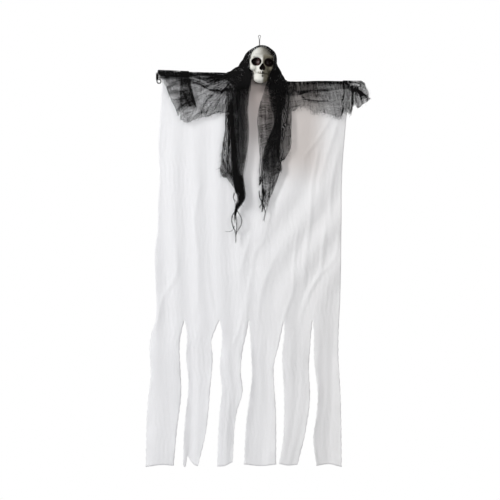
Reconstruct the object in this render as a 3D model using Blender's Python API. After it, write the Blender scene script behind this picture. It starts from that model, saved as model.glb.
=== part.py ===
"""Hanging fabric ghost: a moulded skull and a white robe on an arm wire, dressed in black gauze.

Metres, +Z up, the face towards -Y. The origin is the top of the hanging loop, and the
whole thing hangs from there: the cord is a sling under the arm wire, and its upper knot
carries the skull.
"""
import math

import bpy
import numpy as np
from mathutils import Vector

# Clearance between pieces that touch
FIT_GAP = 0.0003

# Cord and its knots
CORD_DIAMETER = 0.0015
STRAND_GAP = 0.0004
LOOP_WIDTH = 0.0060
LOOP_HEIGHT = 0.0100
WIRE_KNOT_HEIGHT = 0.0066
WIRE_KNOT_RISE = 0.0080
STOPPER_KNOT_HEIGHT = 0.0060
KNOT_TURNS = 3

# Arm wire: the neck is the point under the loop, and the spans run from there to the eyes
WIRE_DIAMETER = 0.003
NECK_DROP = 0.121
LEFT_SPAN = 0.286
RIGHT_SPAN = 0.282
EYE_DIAMETER = 0.011
LEFT_STEM = 0.026
EYE_OPENING = math.radians(76)

# Robe: lengths are measured down from the neck, widths out from it
ROBE_CLOTH = 0.0008
ROBE_LENGTH = 1.084
ROBE_LEFT = 0.271
ROBE_RIGHT = 0.250
SLIT_LENGTH = 0.410
CASING_HEM = 0.022
CASING_SLACK = 0.0002
NOTCH_WIDTH = 0.026
NOTCH_DEPTH = 0.014
SLANTED_FOLD = 0.0065
SLANTED_PITCH = 0.094
SLANTED_SWEEP = 0.25
UPRIGHT_FOLD = 0.0035
UPRIGHT_PITCH = 0.062
STRIP_CURL = 0.0060

# Skull
SKULL_WIDTH = 0.071
SKULL_DEPTH = 0.092
SKULL_HEIGHT = 0.106
SKULL_WALL = 0.0016
SKULL_ROLL = math.radians(4)
SKULL_YAW = math.radians(5)
SKULL_CENTRE = (0.0065, 0.0020, -0.0695)
CROWN_HOLE = 0.0064
NECK_OPENING = math.radians(56)

# Gauze
GAUZE_CLOTH = 0.0008
LAYER_PITCH = 0.0019
HOOD_CLEARANCE = 0.0012
HOOD_HOLE = 0.0066
TAIL_SWAY = 0.0015
LEFT_TAIL_LENGTH = 0.452
RIGHT_TAIL_LENGTH = 0.392
SLEEVE_DEPTH = 0.0066
SLEEVE_FLARE = 0.0040
SLEEVE_BACK_DROP = 0.062
SLEEVE_BACK_STAND = 0.002
LEFT_SLEEVE_END = 0.2835
RIGHT_SLEEVE_END = 0.302

CORD_RADIUS = CORD_DIAMETER / 2
STRAND_OFFSET = CORD_RADIUS + STRAND_GAP / 2
WIRE_RADIUS = WIRE_DIAMETER / 2
KNOT_BORE = STRAND_OFFSET + CORD_RADIUS + FIT_GAP
KNOT_RADIUS = KNOT_BORE + CORD_DIAMETER
CASING_STEPS = 4
FACET = math.cos(math.pi / (2 * CASING_STEPS))
CASING_RADIUS = (WIRE_RADIUS + FIT_GAP + CASING_SLACK) / FACET + ROBE_CLOTH / 2
SLEEVE_RADIUS = (CASING_RADIUS + (ROBE_CLOTH + GAUZE_CLOTH) / 2 + FIT_GAP) / FACET
SHOULDER_RADIUS = SLEEVE_RADIUS + GAUZE_CLOTH + 2 * FIT_GAP
CHEST_DEPTH = max(SLEEVE_DEPTH + SLEEVE_FLARE, CASING_RADIUS + SLANTED_FOLD) + GAUZE_CLOTH + 2 * FIT_GAP
TAIL_DEPTH = CHEST_DEPTH + TAIL_SWAY


# Shared helpers

def through(points, places):
    """A smooth curve through (place, value, ...) points, read at the places asked for."""
    known = np.array([point[0] for point in points], dtype=float)
    values = np.array([point[1:] for point in points], dtype=float)
    slopes = np.gradient(values, known, axis=0)
    places = np.clip(np.atleast_1d(places), known[0], known[-1])
    span = np.clip(np.searchsorted(known, places) - 1, 0, len(known) - 2)
    width = (known[span + 1] - known[span])[:, None]
    t = (places - known[span])[:, None] / width
    start = values[span] * (1 + 2 * t) * (1 - t) ** 2 + slopes[span] * width * t * (1 - t) ** 2
    end = values[span + 1] * t * t * (3 - 2 * t) - slopes[span + 1] * width * t * t * (1 - t)
    return start + end


def value(points, place):
    """One number of a smooth curve."""
    return float(through(points, place)[0, 0])


def along(points, count):
    """Points spaced evenly by their index along a smooth line through 3D points."""
    steps = np.insert(np.cumsum(np.linalg.norm(np.diff(points, axis=0), axis=1)), 0, 0.0)
    rows = [(step, *point) for step, point in zip(steps, points)]
    return through(rows, np.linspace(0, steps[-1], count))


def smooth_step(x, low, high):
    t = min(max((x - low) / (high - low), 0.0), 1.0)
    return t * t * (3 - 2 * t)


def material(name, colour, roughness):
    made = bpy.data.materials.new(name)
    made.use_nodes = True
    shader = made.node_tree.nodes["Principled BSDF"]
    shader.inputs["Base Color"].default_value = (*colour, 1.0)
    shader.inputs["Roughness"].default_value = roughness
    made.diffuse_color = (*colour, 1.0)
    return made


def mesh_object(name, points, faces, look):
    mesh = bpy.data.meshes.new(name)
    mesh.from_pydata([tuple(point) for point in points], [], faces)
    mesh.validate()
    mesh.shade_smooth()
    made = bpy.data.objects.new(name, mesh)
    made.data.materials.append(look)
    bpy.context.collection.objects.link(made)
    return made


def grid_faces(rows, columns):
    """Quads of a grid of points held row by row."""
    return [
        (j * columns + i, j * columns + i + 1, (j + 1) * columns + i + 1, (j + 1) * columns + i)
        for j in range(rows - 1)
        for i in range(columns - 1)
    ]


def thicken(sheet, thickness):
    solid = sheet.modifiers.new("Cloth", "SOLIDIFY")
    solid.thickness = thickness
    solid.offset = 0
    return sheet


def tube(name, route, radius, look):
    """A round tube along a list of points, with closed ends."""
    curve = bpy.data.curves.new(name, "CURVE")
    curve.dimensions = "3D"
    curve.bevel_depth = radius
    curve.bevel_resolution = 2
    curve.use_fill_caps = True
    line = curve.splines.new("POLY")
    line.points.add(len(route) - 1)
    for point, place in zip(line.points, route):
        point.co = (*place, 1.0)
    curve.materials.append(look)
    made = bpy.data.objects.new(name, curve)
    bpy.context.collection.objects.link(made)
    return made


def eased(route, longest=0.006, bend=math.radians(13)):
    """A smooth curve through the route's points, with more points where it bends."""
    fine = along(np.array(route), 24 * len(route))
    kept = [fine[0]]
    heading = fine[1] - fine[0]
    for here, after in zip(fine[1:-1], fine[2:]):
        step = after - here
        turned = Vector(step).angle(Vector(heading), 0.0)
        if turned > bend or np.linalg.norm(after - kept[-1]) > longest:
            kept.append(here)
            heading = step
    kept.append(fine[-1])
    return kept


# Arm wire

NECK = -NECK_DROP
# Share of the span out from the neck, and the height over the neck
LEFT_ARM_LINE = ((0.0, 0.0), (0.31, 0.011), (0.62, 0.0135), (0.95, 0.0175))
RIGHT_ARM_LINE = ((0.0, 0.0), (0.28, -0.012), (0.60, -0.011), (0.95, -0.0125))
ARM_END = 0.95


def wire_height(x):
    """Height of the wire's middle at x."""
    if x < 0:
        return NECK + value(LEFT_ARM_LINE, -x / LEFT_SPAN)
    return NECK + value(RIGHT_ARM_LINE, x / RIGHT_SPAN)


def eye_arc(centre_x, centre_z, start, turn):
    """Points round an end eye, from its start angle, open by EYE_OPENING before it closes."""
    sweep = turn * (2 * math.pi - EYE_OPENING)
    angles = [start + sweep * step / 14 for step in range(15)]
    radius = EYE_DIAMETER / 2
    return [(centre_x + radius * math.cos(a), 0.0, centre_z + radius * math.sin(a)) for a in angles]


def wire_route():
    left = -LEFT_SPAN
    stem_top = wire_height(ARM_END * left)
    left_eye = eye_arc(left + EYE_DIAMETER / 2, stem_top - LEFT_STEM, math.pi, 1)
    bend = [
        (left, 0.0, stem_top - 0.45 * LEFT_STEM),
        (left + 0.0015, 0.0, stem_top - 0.0060),
        (left + 0.0060, 0.0, stem_top - 0.0012),
    ]
    out = np.sin(np.linspace(0, math.pi / 2, 10))
    left_arm = -ARM_END * LEFT_SPAN * out[::-1]
    right_arm = (ARM_END * RIGHT_SPAN - EYE_DIAMETER / 2) * out
    spans = np.concatenate([left_arm, right_arm[1:]])
    arms = [(x, 0.0, wire_height(x)) for x in spans]
    right_x = RIGHT_SPAN - EYE_DIAMETER / 2
    right_z = wire_height(ARM_END * RIGHT_SPAN) - 0.0012 - EYE_DIAMETER / 2
    right_eye = eye_arc(right_x, right_z, math.pi / 2, -1)
    return left_eye[::-1] + bend + arms + right_eye


def arm_wire():
    iron = material("black_iron", (0.03, 0.03, 0.032), 0.45)
    return tube("arm_wire", eased(wire_route(), longest=0.016), WIRE_RADIUS, iron)


# Robe: the front sheet hangs below the neck's level, and v is the share of its length

SLIT_TOP = 1 - SLIT_LENGTH / ROBE_LENGTH
# Share of the length, and how far the side edge has moved towards +X
LEFT_EDGE = (
    (0.0, 0.0), (0.107, -0.006), (0.184, -0.011), (0.262, -0.007), (0.313, -0.011), (0.403, -0.014),
    (0.442, -0.020), (0.519, -0.019), (0.595, -0.016), (0.622, -0.018), (0.655, -0.030), (0.776, -0.033),
    (0.828, -0.040), (1.0, -0.046),
)
RIGHT_EDGE = (
    (0.0, 0.0), (0.107, -0.009), (0.210, -0.018), (0.416, -0.022), (0.570, -0.025), (0.673, -0.030),
    (0.712, -0.030), (0.802, -0.025), (0.905, -0.022), (1.0, -0.021),
)
# Each slit: its top's distance from the neck, then its left and right lips, as the share
# of the slit's length and the distance from the top
SLITS = (
    (-0.2093,
     ((0, 0), (0.068, -0.007), (0.136, -0.012), (0.34, -0.011), (0.48, -0.009), (0.75, -0.021), (1, -0.03)),
     ((0, 0), (0.068, 0.006), (0.27, 0.005), (0.41, 0.011), (0.54, 0.008), (0.70, 0.001), (1, -0.004))),
    (-0.1116,
     ((0, 0), (0.068, -0.012), (0.136, -0.022), (0.25, -0.019), (0.44, -0.025), (0.78, -0.039), (1, -0.06)),
     ((0, 0), (0.068, 0.006), (0.204, 0.005), (0.32, 0.001), (0.476, 0.007), (0.612, 0.001), (1, -0.007))),
    (-0.0293,
     ((0, 0), (0.068, -0.005), (0.215, -0.018), (0.349, -0.023), (0.49, -0.018), (0.62, -0.033), (1, -0.046)),
     ((0, 0), (0.068, 0.002), (0.148, 0.004), (0.416, 0.007), (0.55, 0.0), (0.685, -0.007), (1, -0.014))),
    (0.0684,
     ((0, 0), (0.068, -0.006), (0.164, -0.014), (0.30, -0.028), (0.43, -0.028), (0.56, -0.024), (1, -0.022)),
     ((0, 0), (0.068, 0.001), (0.23, -0.005), (0.493, 0.0), (0.69, 0.0), (0.822, -0.003), (1, -0.014))),
    (0.1479,
     ((0, 0), (0.068, -0.003), (0.192, -0.007), (0.325, -0.01), (0.52, -0.007), (0.79, -0.022), (1, -0.042)),
     ((0, 0), (0.068, 0.003), (0.258, 0.004), (0.523, 0.014), (0.656, 0.010), (0.788, 0.002), (1, 0.011))),
)
# Each strip's hem: the share of its width, and how far the cloth stops short
HEMS = (
    ((0, 0.0), (0.5, 0.006), (1, 0.004)),
    ((0, 0.006), (0.3, 0.030), (1, 0.003)),
    ((0, 0.001), (0.5, 0.003), (1, 0.013)),
    ((0, 0.008), (0.5, 0.003), (1, 0.008)),
    ((0, 0.009), (0.5, 0.004), (1, 0.006)),
    ((0, 0.003), (0.5, 0.007), (1, 0.0)),
)
STRIP_COLUMNS = 5
COLUMNS = STRIP_COLUMNS * len(HEMS)
UPPER_ROWS = 12
LOWER_ROWS = 11


def robe_edges(v):
    """Pairs of x at v: the left edge, each slit's two lips and the right edge. Above the
    slits both lips are one line."""
    left = -ROBE_LEFT + value(LEFT_EDGE, v)
    right = ROBE_RIGHT + value(RIGHT_EDGE, v)
    apex_left = -ROBE_LEFT + value(LEFT_EDGE, SLIT_TOP)
    apex_right = ROBE_RIGHT + value(RIGHT_EDGE, SLIT_TOP)
    lips = [(left, left)]
    for top, left_lip, right_lip in SLITS:
        if v <= SLIT_TOP:
            share = (top - apex_left) / (apex_right - apex_left)
            x = left + share * (right - left)
            lips.append((x, x))
        else:
            below = (v - SLIT_TOP) / (1 - SLIT_TOP)
            lips.append((top + value(left_lip, below), top + value(right_lip, below)))
    lips.append((right, right))
    return lips


def robe_fold(x, v):
    """How far the cloth stands forward of its plane: slanted folds drawn from the right arm
    down to the left, soft upright ones at the left."""
    drawn = smooth_step(x, -0.12, 0.12)
    sweep = SLANTED_SWEEP * smooth_step(v, 0.20, 0.62)
    grown = smooth_step(v, 0.02, 0.30)
    slanted = math.sin(2 * math.pi * (x + sweep) / SLANTED_PITCH + 0.8 * math.sin(7 * v))
    upright = math.sin(2 * math.pi * x / UPRIGHT_PITCH + 0.7 * math.sin(6 * v))
    return grown * (SLANTED_FOLD * drawn * slanted + UPRIGHT_FOLD * (1 - drawn) * upright)


def strip_fold(strip, across, v):
    """Extra depth of one strip: its edges curl and the whole strip swings a little."""
    below = max(0.0, (v - SLIT_TOP) / (1 - SLIT_TOP))
    curl = (1 if strip % 2 else -1) * ((2 * across - 1) ** 2 - 0.35)
    swing = math.sin(2.6 * below * math.pi + 1.9 * strip)
    return smooth_step(below, 0.0, 0.25) * STRIP_CURL * (0.7 * curl + 0.6 * swing)


def casing_section(height):
    """The robe's section round the wire, from the back hem over the wire to the front."""
    section = [(CASING_RADIUS, height - CASING_HEM), (CASING_RADIUS, height - CASING_HEM / 2)]
    for step in range(CASING_STEPS + 1):
        angle = math.pi * step / CASING_STEPS
        section.append((CASING_RADIUS * math.cos(angle), height + CASING_RADIUS * math.sin(angle)))
    return section


def robe_row_shares():
    """Each row below the casing: its share down to the slits, then down the slits."""
    upper = [(row / UPPER_ROWS) ** 1.25 for row in range(1, UPPER_ROWS + 1)]
    lower = [row / LOWER_ROWS for row in range(1, LOWER_ROWS + 1)]
    return upper, lower


def robe():
    points = []
    faces = []
    index = {}

    def keep(key, place):
        index[key] = len(points)
        points.append(place)

    upper, lower = robe_row_shares()
    casing_rows = len(casing_section(0.0))
    last = casing_rows + UPPER_ROWS + LOWER_ROWS
    top_lines = robe_edges(0.0)
    for column in range(COLUMNS + 1):
        strip = min(column // STRIP_COLUMNS, len(HEMS) - 1)
        across = column / STRIP_COLUMNS - strip
        x = top_lines[strip][1] + across * (top_lines[strip + 1][0] - top_lines[strip][1])
        height = wire_height(x)
        for row, (y, z) in enumerate(casing_section(height)):
            keep((row, column, 0), (x, y, z))
        for row, share in enumerate(upper):
            v = share * SLIT_TOP
            lines = robe_edges(v)
            wide = lines[strip][1] + across * (lines[strip + 1][0] - lines[strip][1])
            z = height + share * (NECK - SLIT_TOP * ROBE_LENGTH - height)
            if row == 0:
                z = height - NOTCH_DEPTH
            keep((casing_rows + row, column, 0), (wide, -CASING_RADIUS - robe_fold(wide, v), z))
    for strip, hem in enumerate(HEMS):
        for step in range(STRIP_COLUMNS + 1):
            column = strip * STRIP_COLUMNS + step
            across = step / STRIP_COLUMNS
            for row, share in enumerate(lower):
                v = SLIT_TOP + share * (1 - SLIT_TOP)
                lines = robe_edges(v)
                x = lines[strip][1] + across * (lines[strip + 1][0] - lines[strip][1])
                short = share ** 6 * value(hem, across)
                y = -CASING_RADIUS - robe_fold(x, v) - strip_fold(strip, across, v)
                keep((casing_rows + UPPER_ROWS + row, column, strip), (x, y, NECK - v * ROBE_LENGTH + short))
    for column in range(COLUMNS):
        strip = column // STRIP_COLUMNS
        for row in range(last - 1):
            middle = (points[index[0, column, 0]][0] + points[index[0, column + 1, 0]][0]) / 2
            if row < casing_rows and abs(middle) < NOTCH_WIDTH / 2:
                continue
            side = [strip if r >= casing_rows + UPPER_ROWS else 0 for r in (row, row + 1)]
            faces.append((
                index[row, column, side[0]], index[row, column + 1, side[0]],
                index[row + 1, column + 1, side[1]], index[row + 1, column, side[1]],
            ))
    polyester = material("white_polyester", (0.86, 0.86, 0.87), 0.8)
    return thicken(mesh_object("robe", points, faces, polyester), ROBE_CLOTH)


# Skull: every place and radius is a share of the width, depth and height, with z up from
# the middle of the cranium

CRANIUM = ((0.0, 0.065, 0.0), (0.495, 0.457, 0.358))
BONES = (
    ((0.0, -0.12, -0.06), (0.39, 0.30, 0.26)),
    ((0.0, -0.26, -0.26), (0.25, 0.19, 0.15)),
    ((0.0, -0.275, -0.345), (0.24, 0.20, 0.070)),
    ((0.0, -0.275, -0.445), (0.265, 0.185, 0.080)),
    ((0.0, -0.285, -0.540), (0.285, 0.175, 0.105)),
    ((0.0, -0.21, -0.34), (0.27, 0.15, 0.14)),
)
PAIRED_BONES = (
    ((0.340, -0.25, -0.185), (0.14, 0.13, 0.085)),
    ((0.42, -0.12, -0.110), (0.070, 0.18, 0.100)),
    ((0.17, -0.355, 0.062), (0.17, 0.085, 0.050)),
    ((0.255, -0.16, -0.41), (0.065, 0.11, 0.15)),
)
NASAL_BONE = ((0.0, -0.40, -0.040), (0.058, 0.085, 0.095))
HOLLOWS = (
    ((0.245, -0.42, -0.060), (0.165, 0.165, 0.098)),
    ((0.58, -0.15, 0.03), (0.13, 0.16, 0.13)),
    ((0.42, -0.32, -0.345), (0.15, 0.15, 0.085)),
)
NOSE_HOLLOWS = (
    ((0.0, -0.455, -0.205), (0.098, 0.105, 0.070)),
    ((0.0, -0.455, -0.165), (0.062, 0.090, 0.062)),
)
SKULL_SIZE = np.array((SKULL_WIDTH, SKULL_DEPTH, SKULL_HEIGHT))
BONE_BLEND = 0.006
HOLLOW_BLEND = 0.002


def skull_axes():
    """Columns are the skull's right, back and up."""
    turn = np.array((
        (math.cos(SKULL_YAW), -math.sin(SKULL_YAW), 0.0),
        (math.sin(SKULL_YAW), math.cos(SKULL_YAW), 0.0),
        (0.0, 0.0, 1.0),
    ))
    lean = np.array((
        (math.cos(SKULL_ROLL), 0.0, math.sin(SKULL_ROLL)),
        (0.0, 1.0, 0.0),
        (-math.sin(SKULL_ROLL), 0.0, math.cos(SKULL_ROLL)),
    ))
    return lean @ turn


def ellipsoid(places, shape):
    centre, radii = (np.array(part) * SKULL_SIZE for part in shape)
    away = places - centre
    near = np.linalg.norm(away / radii, axis=1)
    return near * (near - 1) / np.maximum(np.linalg.norm(away / radii ** 2, axis=1), 1e-9)


def joined(a, b, blend):
    """The two distances as one shape, with a fillet of about blend where they meet."""
    h = np.clip(0.5 + 0.5 * (b - a) / blend, 0, 1)
    return b * (1 - h) + a * h - blend * h * (1 - h)


def skull_distance(points):
    """About how far points lie outside the skull's outer face, in metres."""
    places = (points - np.array(SKULL_CENTRE)) @ skull_axes()
    sides = places.copy()
    sides[:, 0] = np.abs(sides[:, 0])
    solid = ellipsoid(places, CRANIUM)
    for bone in BONES:
        solid = joined(solid, ellipsoid(places, bone), BONE_BLEND)
    for bone in PAIRED_BONES:
        solid = joined(solid, ellipsoid(sides, bone), BONE_BLEND)
    solid = joined(solid, ellipsoid(places, NASAL_BONE), BONE_BLEND / 2)
    for hollow in HOLLOWS:
        solid = -joined(-solid, ellipsoid(sides, hollow), HOLLOW_BLEND)
    for hollow in NOSE_HOLLOWS:
        solid = -joined(-solid, ellipsoid(places, hollow), HOLLOW_BLEND)
    return solid


def first_crossing(start, rays, level, reach=0.12, steps=120):
    """Where each ray from inside the skull first meets the level."""
    low = np.zeros(len(rays))
    high = np.full(len(rays), reach)
    found = np.zeros(len(rays), dtype=bool)
    for step in range(1, steps + 1):
        distance = reach * step / steps
        outside = skull_distance(start + rays * distance) > level
        high[outside & ~found] = distance
        found |= outside
        low[~found] = distance
    for _ in range(18):
        middle = (low + high) / 2
        outside = skull_distance(start + rays * middle[:, None]) > level
        high = np.where(outside, middle, high)
        low = np.where(outside, low, middle)
    return low


def height_over(x, y, level):
    """The height at x, y where the crown reaches the level."""
    start = np.array((x, y, SKULL_CENTRE[2]))
    return start[2] + float(first_crossing(start, np.array(((0.0, 0.0, 1.0),)), level)[0])


CROWN = height_over(0.0, 0.0, 0.0)
RAY_CENTRE = np.array((0.0040, 0.0060, -0.0710))
SKULL_ROUND = 38
SKULL_RINGS = 30
FACE_CROWDING = 0.62
RING_CROWDING = 0.30


def skull_rays():
    """Rays in rings, from round the crown hole to round the neck, closer together at the face."""
    crown = np.array((0.0, 0.0, CROWN)) - RAY_CENTRE
    reach = np.linalg.norm(crown)
    axis = crown / reach
    side = np.cross(axis, (0.0, -1.0, 0.0))
    side /= np.linalg.norm(side)
    front = np.cross(side, axis)
    first = math.atan(CROWN_HOLE / 2 / reach)
    last = math.pi - NECK_OPENING / 2
    rays = []
    for ring in range(SKULL_RINGS):
        share = ring / (SKULL_RINGS - 1)
        crowded = share + RING_CROWDING * math.sin(2 * math.pi * share) / (2 * math.pi)
        polar = first + (last - first) * crowded
        for step in range(SKULL_ROUND):
            plain = 2 * math.pi * step / SKULL_ROUND
            angle = plain - FACE_CROWDING * math.sin(plain)
            level = math.cos(angle) * front + math.sin(angle) * side
            rays.append(math.cos(polar) * axis + math.sin(polar) * level)
    return np.array(rays)


def skull():
    rays = skull_rays()
    outer = RAY_CENTRE + rays * first_crossing(RAY_CENTRE, rays, 0.0)[:, None]
    inner = RAY_CENTRE + rays * first_crossing(RAY_CENTRE, rays, -SKULL_WALL)[:, None]
    shell = len(rays)
    faces = []
    for ring in range(SKULL_RINGS - 1):
        for step in range(SKULL_ROUND):
            a = ring * SKULL_ROUND + step
            b = ring * SKULL_ROUND + (step + 1) % SKULL_ROUND
            c = b + SKULL_ROUND
            d = a + SKULL_ROUND
            faces.append((a, d, c, b))
            faces.append((a + shell, b + shell, c + shell, d + shell))
    for step in range(SKULL_ROUND):
        a = step
        b = (step + 1) % SKULL_ROUND
        faces.append((a, b, b + shell, a + shell))
        c = a + (SKULL_RINGS - 1) * SKULL_ROUND
        d = b + (SKULL_RINGS - 1) * SKULL_ROUND
        faces.append((d, c, c + shell, d + shell))
    bone = material("ivory_plastic", (0.78, 0.77, 0.70), 0.5)
    return mesh_object("skull", np.concatenate([outer, inner]), faces, bone)


# Cord: two strands from a bend under the wire, up through the skull, to the loop

def under_crown():
    """The height at which the stopper knot's rim meets the inside of the crown."""
    rim = [2 * math.pi * step / 12 for step in range(12)]
    heights = [height_over(KNOT_RADIUS * math.cos(a), KNOT_RADIUS * math.sin(a), -SKULL_WALL) for a in rim]
    return min(heights) - FIT_GAP


def strand():
    """One strand, from the bottom of the bend under the wire to the top of the loop."""
    bend = WIRE_RADIUS + FIT_GAP + CORD_RADIUS
    knot_low = NECK + WIRE_KNOT_RISE
    slope = (bend + STRAND_OFFSET) / 2
    turn_low = knot_low + WIRE_KNOT_HEIGHT + 0.010
    turn_high = turn_low + 0.034
    loop = LOOP_WIDTH / 2
    loop_low = -LOOP_HEIGHT
    turns = [
        (0.0, -STRAND_OFFSET, turn_low),
        (STRAND_OFFSET * math.sin(0.79), -STRAND_OFFSET * math.cos(0.79), (turn_low + turn_high) / 2),
        (STRAND_OFFSET, 0.0, turn_high),
    ]
    return [
        (0.0, 0.0, NECK - bend),
        (0.0, -0.72 * bend, NECK - 0.72 * bend),
        (0.0, -bend, NECK + 0.0004),
        (0.0, -slope, NECK + 0.0040),
        (0.0, -STRAND_OFFSET, knot_low - 0.0008),
        (0.0, -STRAND_OFFSET, knot_low + WIRE_KNOT_HEIGHT / 2),
        *turns,
        (STRAND_OFFSET, 0.0, loop_low - 0.020),
        (STRAND_OFFSET, 0.0, loop_low - 0.003),
        (0.55 * loop + 0.45 * STRAND_OFFSET, 0.0, 0.70 * loop_low),
        (loop, 0.0, 0.42 * loop_low),
        (0.72 * loop, 0.0, 0.12 * loop_low - CORD_RADIUS),
        (0.0, 0.0, -CORD_RADIUS),
    ]


def cord_route():
    """The whole sling: both ends lie inside the wire knot, one on the other."""
    up = strand()
    back = [(-x, -y, z) for x, y, z in up]
    knot_middle = NECK + WIRE_KNOT_RISE + WIRE_KNOT_HEIGHT / 2
    start = (0.0, STRAND_OFFSET, knot_middle - 0.0005)
    end = (0.0, STRAND_OFFSET, knot_middle + 0.0005)
    return [start, *back[4:0:-1], *up, *back[-2:5:-1], end]


def hanging_cord():
    black = material("black_cord", (0.02, 0.02, 0.022), 0.7)
    return tube("hanging_cord", eased(cord_route()), CORD_RADIUS, black)


def knot(name, low, height):
    """Turns of cord wrapped round both strands, as one turned ring."""
    profile = [(KNOT_BORE, low + height), (KNOT_BORE, low)]
    for turn in range(KNOT_TURNS):
        for step in range(4):
            angle = math.pi * (step / 4 - 0.5) + math.pi / 8
            z = low + height * (turn + 0.5 + 0.5 * math.sin(angle)) / KNOT_TURNS
            profile.append((KNOT_BORE + 0.4 * CORD_DIAMETER + 0.6 * CORD_DIAMETER * math.cos(angle), z))
    points = []
    around = 14
    for step in range(around):
        angle = 2 * math.pi * step / around
        points += [(r * math.cos(angle), r * math.sin(angle), z) for r, z in profile]
    size = len(profile)
    faces = []
    for step in range(around):
        for i in range(size):
            a = step * size + i
            b = step * size + (i + 1) % size
            c = (step + 1) % around * size
            faces.append((a, c + i, c + (i + 1) % size, b))
    return mesh_object(name, points, faces, material(name + "_cord", (0.02, 0.02, 0.022), 0.7))


# Gauze over the arms. A path across a sleeve is a list of (distance out from the neck,
# layer), where a higher layer lies further forward, as a pleat does

LEFT_SLEEVE_PATH = (
    (0.060, 0), (0.088, 0), (0.112, 0), (0.135, 0), (0.158, 0), (0.178, 0), (0.197, 0), (0.217, 0),
    (0.217, 1), (0.197, 1), (0.197, 2), (0.217, 2), (0.232, 1.2), (0.250, 0.4), (0.268, 0), (0.2835, 0),
)
RIGHT_SLEEVE_PATH = (
    (0.050, 0), (0.070, 0), (0.092, 0), (0.115, 0), (0.140, 0), (0.163, 0), (0.185, 0), (0.206, 0),
    (0.229, 0), (0.238, 0), (0.238, 1), (0.229, 1), (0.229, 2), (0.238, 2), (0.255, 1), (0.272, 0.5),
    (0.302, 0),
)
# Distance out from the neck, and the height of the front flap's hem over the neck
LEFT_SLEEVE_HEM = (
    (0.060, -0.098), (0.099, -0.098), (0.124, -0.101), (0.146, -0.110), (0.166, -0.108), (0.188, -0.118),
    (0.216, -0.119), (0.226, -0.111), (0.233, -0.088), (0.247, -0.060), (0.258, -0.032), (0.274, -0.010),
    (0.2835, -0.006),
)
RIGHT_SLEEVE_HEM = (
    (0.050, -0.094), (0.088, -0.095), (0.116, -0.084), (0.126, -0.086), (0.144, -0.099), (0.163, -0.105),
    (0.174, -0.095), (0.202, -0.109), (0.229, -0.113), (0.247, -0.098), (0.255, -0.100), (0.272, -0.083),
    (0.289, -0.069), (0.302, -0.058),
)
SLEEVE_FRONT_ROWS = 6
SLEEVE_BACK_SHARE = 0.75


def sleeve(name, side, path, hem, end):
    """Gauze laid over the covered wire: a back flap, the fold over the wire and a front flap."""
    reach = end / path[-1][0]
    columns = []
    for distance, layer in path:
        out = distance * reach
        x = side * out
        height = wire_height(min(max(x, -0.98 * LEFT_SPAN), 0.98 * RIGHT_SPAN))
        radius = SLEEVE_RADIUS + layer * LAYER_PITCH
        low = NECK + value(hem, distance)
        drop = min(SLEEVE_BACK_DROP, SLEEVE_BACK_SHARE * (height - low))
        column = [
            (x, radius + SLEEVE_BACK_STAND, height - drop),
            (x, radius + SLEEVE_BACK_STAND / 2, height - drop / 2),
        ]
        for step in range(CASING_STEPS + 1):
            angle = math.pi * step / CASING_STEPS
            column.append((x, radius * math.cos(angle), height + radius * math.sin(angle)))
        for row in range(1, SLEEVE_FRONT_ROWS + 1):
            share = row / SLEEVE_FRONT_ROWS
            stand = SLEEVE_DEPTH + SLEEVE_FLARE * share + layer * LAYER_PITCH
            y = -radius + (radius - stand) * smooth_step(share, 0.0, 0.35)
            column.append((x, y, height + share * (low - height)))
        columns.append(column)
    rows = list(zip(*columns))
    points = [point for row in rows for point in row]
    faces = grid_faces(len(rows), len(path))
    if side > 0:
        faces = [face[::-1] for face in faces]
    gauze = material(name + "_gauze", (0.035, 0.033, 0.032), 0.85)
    return thicken(mesh_object(name, points, faces, gauze), GAUZE_CLOTH)


# Hood: one strip of gauze over the head. Its stations run from the end of the left tail
# over the crown to the end of the right tail, and across it runs from the face's edge

# Height over the neck, then x of the inner edge, the start of the folded band and the outer edge
LEFT_TAIL_LINES = (
    (-0.452, -0.060, -0.068, -0.073), (-0.420, -0.064, -0.071, -0.078), (-0.370, -0.064, -0.067, -0.071),
    (-0.339, -0.040, -0.062, -0.066), (-0.303, -0.040, -0.070, -0.080), (-0.278, -0.042, -0.074, -0.102),
    (-0.250, -0.038, -0.076, -0.109), (-0.200, -0.032, -0.080, -0.106), (-0.116, -0.028, -0.082, -0.096),
    (-0.060, -0.027, -0.078, -0.091), (-0.028, -0.025, -0.072, -0.088),
)
# Height over the neck, then x of the inner edge, the band's two sides and the outer edge
RIGHT_TAIL_LINES = (
    (-0.392, -0.001, 0.000, 0.008, 0.012), (-0.365, -0.001, 0.002, 0.018, 0.024),
    (-0.317, -0.003, 0.002, 0.024, 0.030), (-0.283, -0.005, 0.002, 0.040, 0.050),
    (-0.230, -0.003, 0.002, 0.049, 0.062), (-0.200, -0.004, 0.010, 0.054, 0.083),
    (-0.160, -0.005, 0.027, 0.059, 0.085), (-0.116, -0.006, 0.042, 0.060, 0.087),
    (-0.060, 0.004, 0.036, 0.070, 0.087), (-0.028, 0.016, 0.032, 0.074, 0.079),
)
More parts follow.
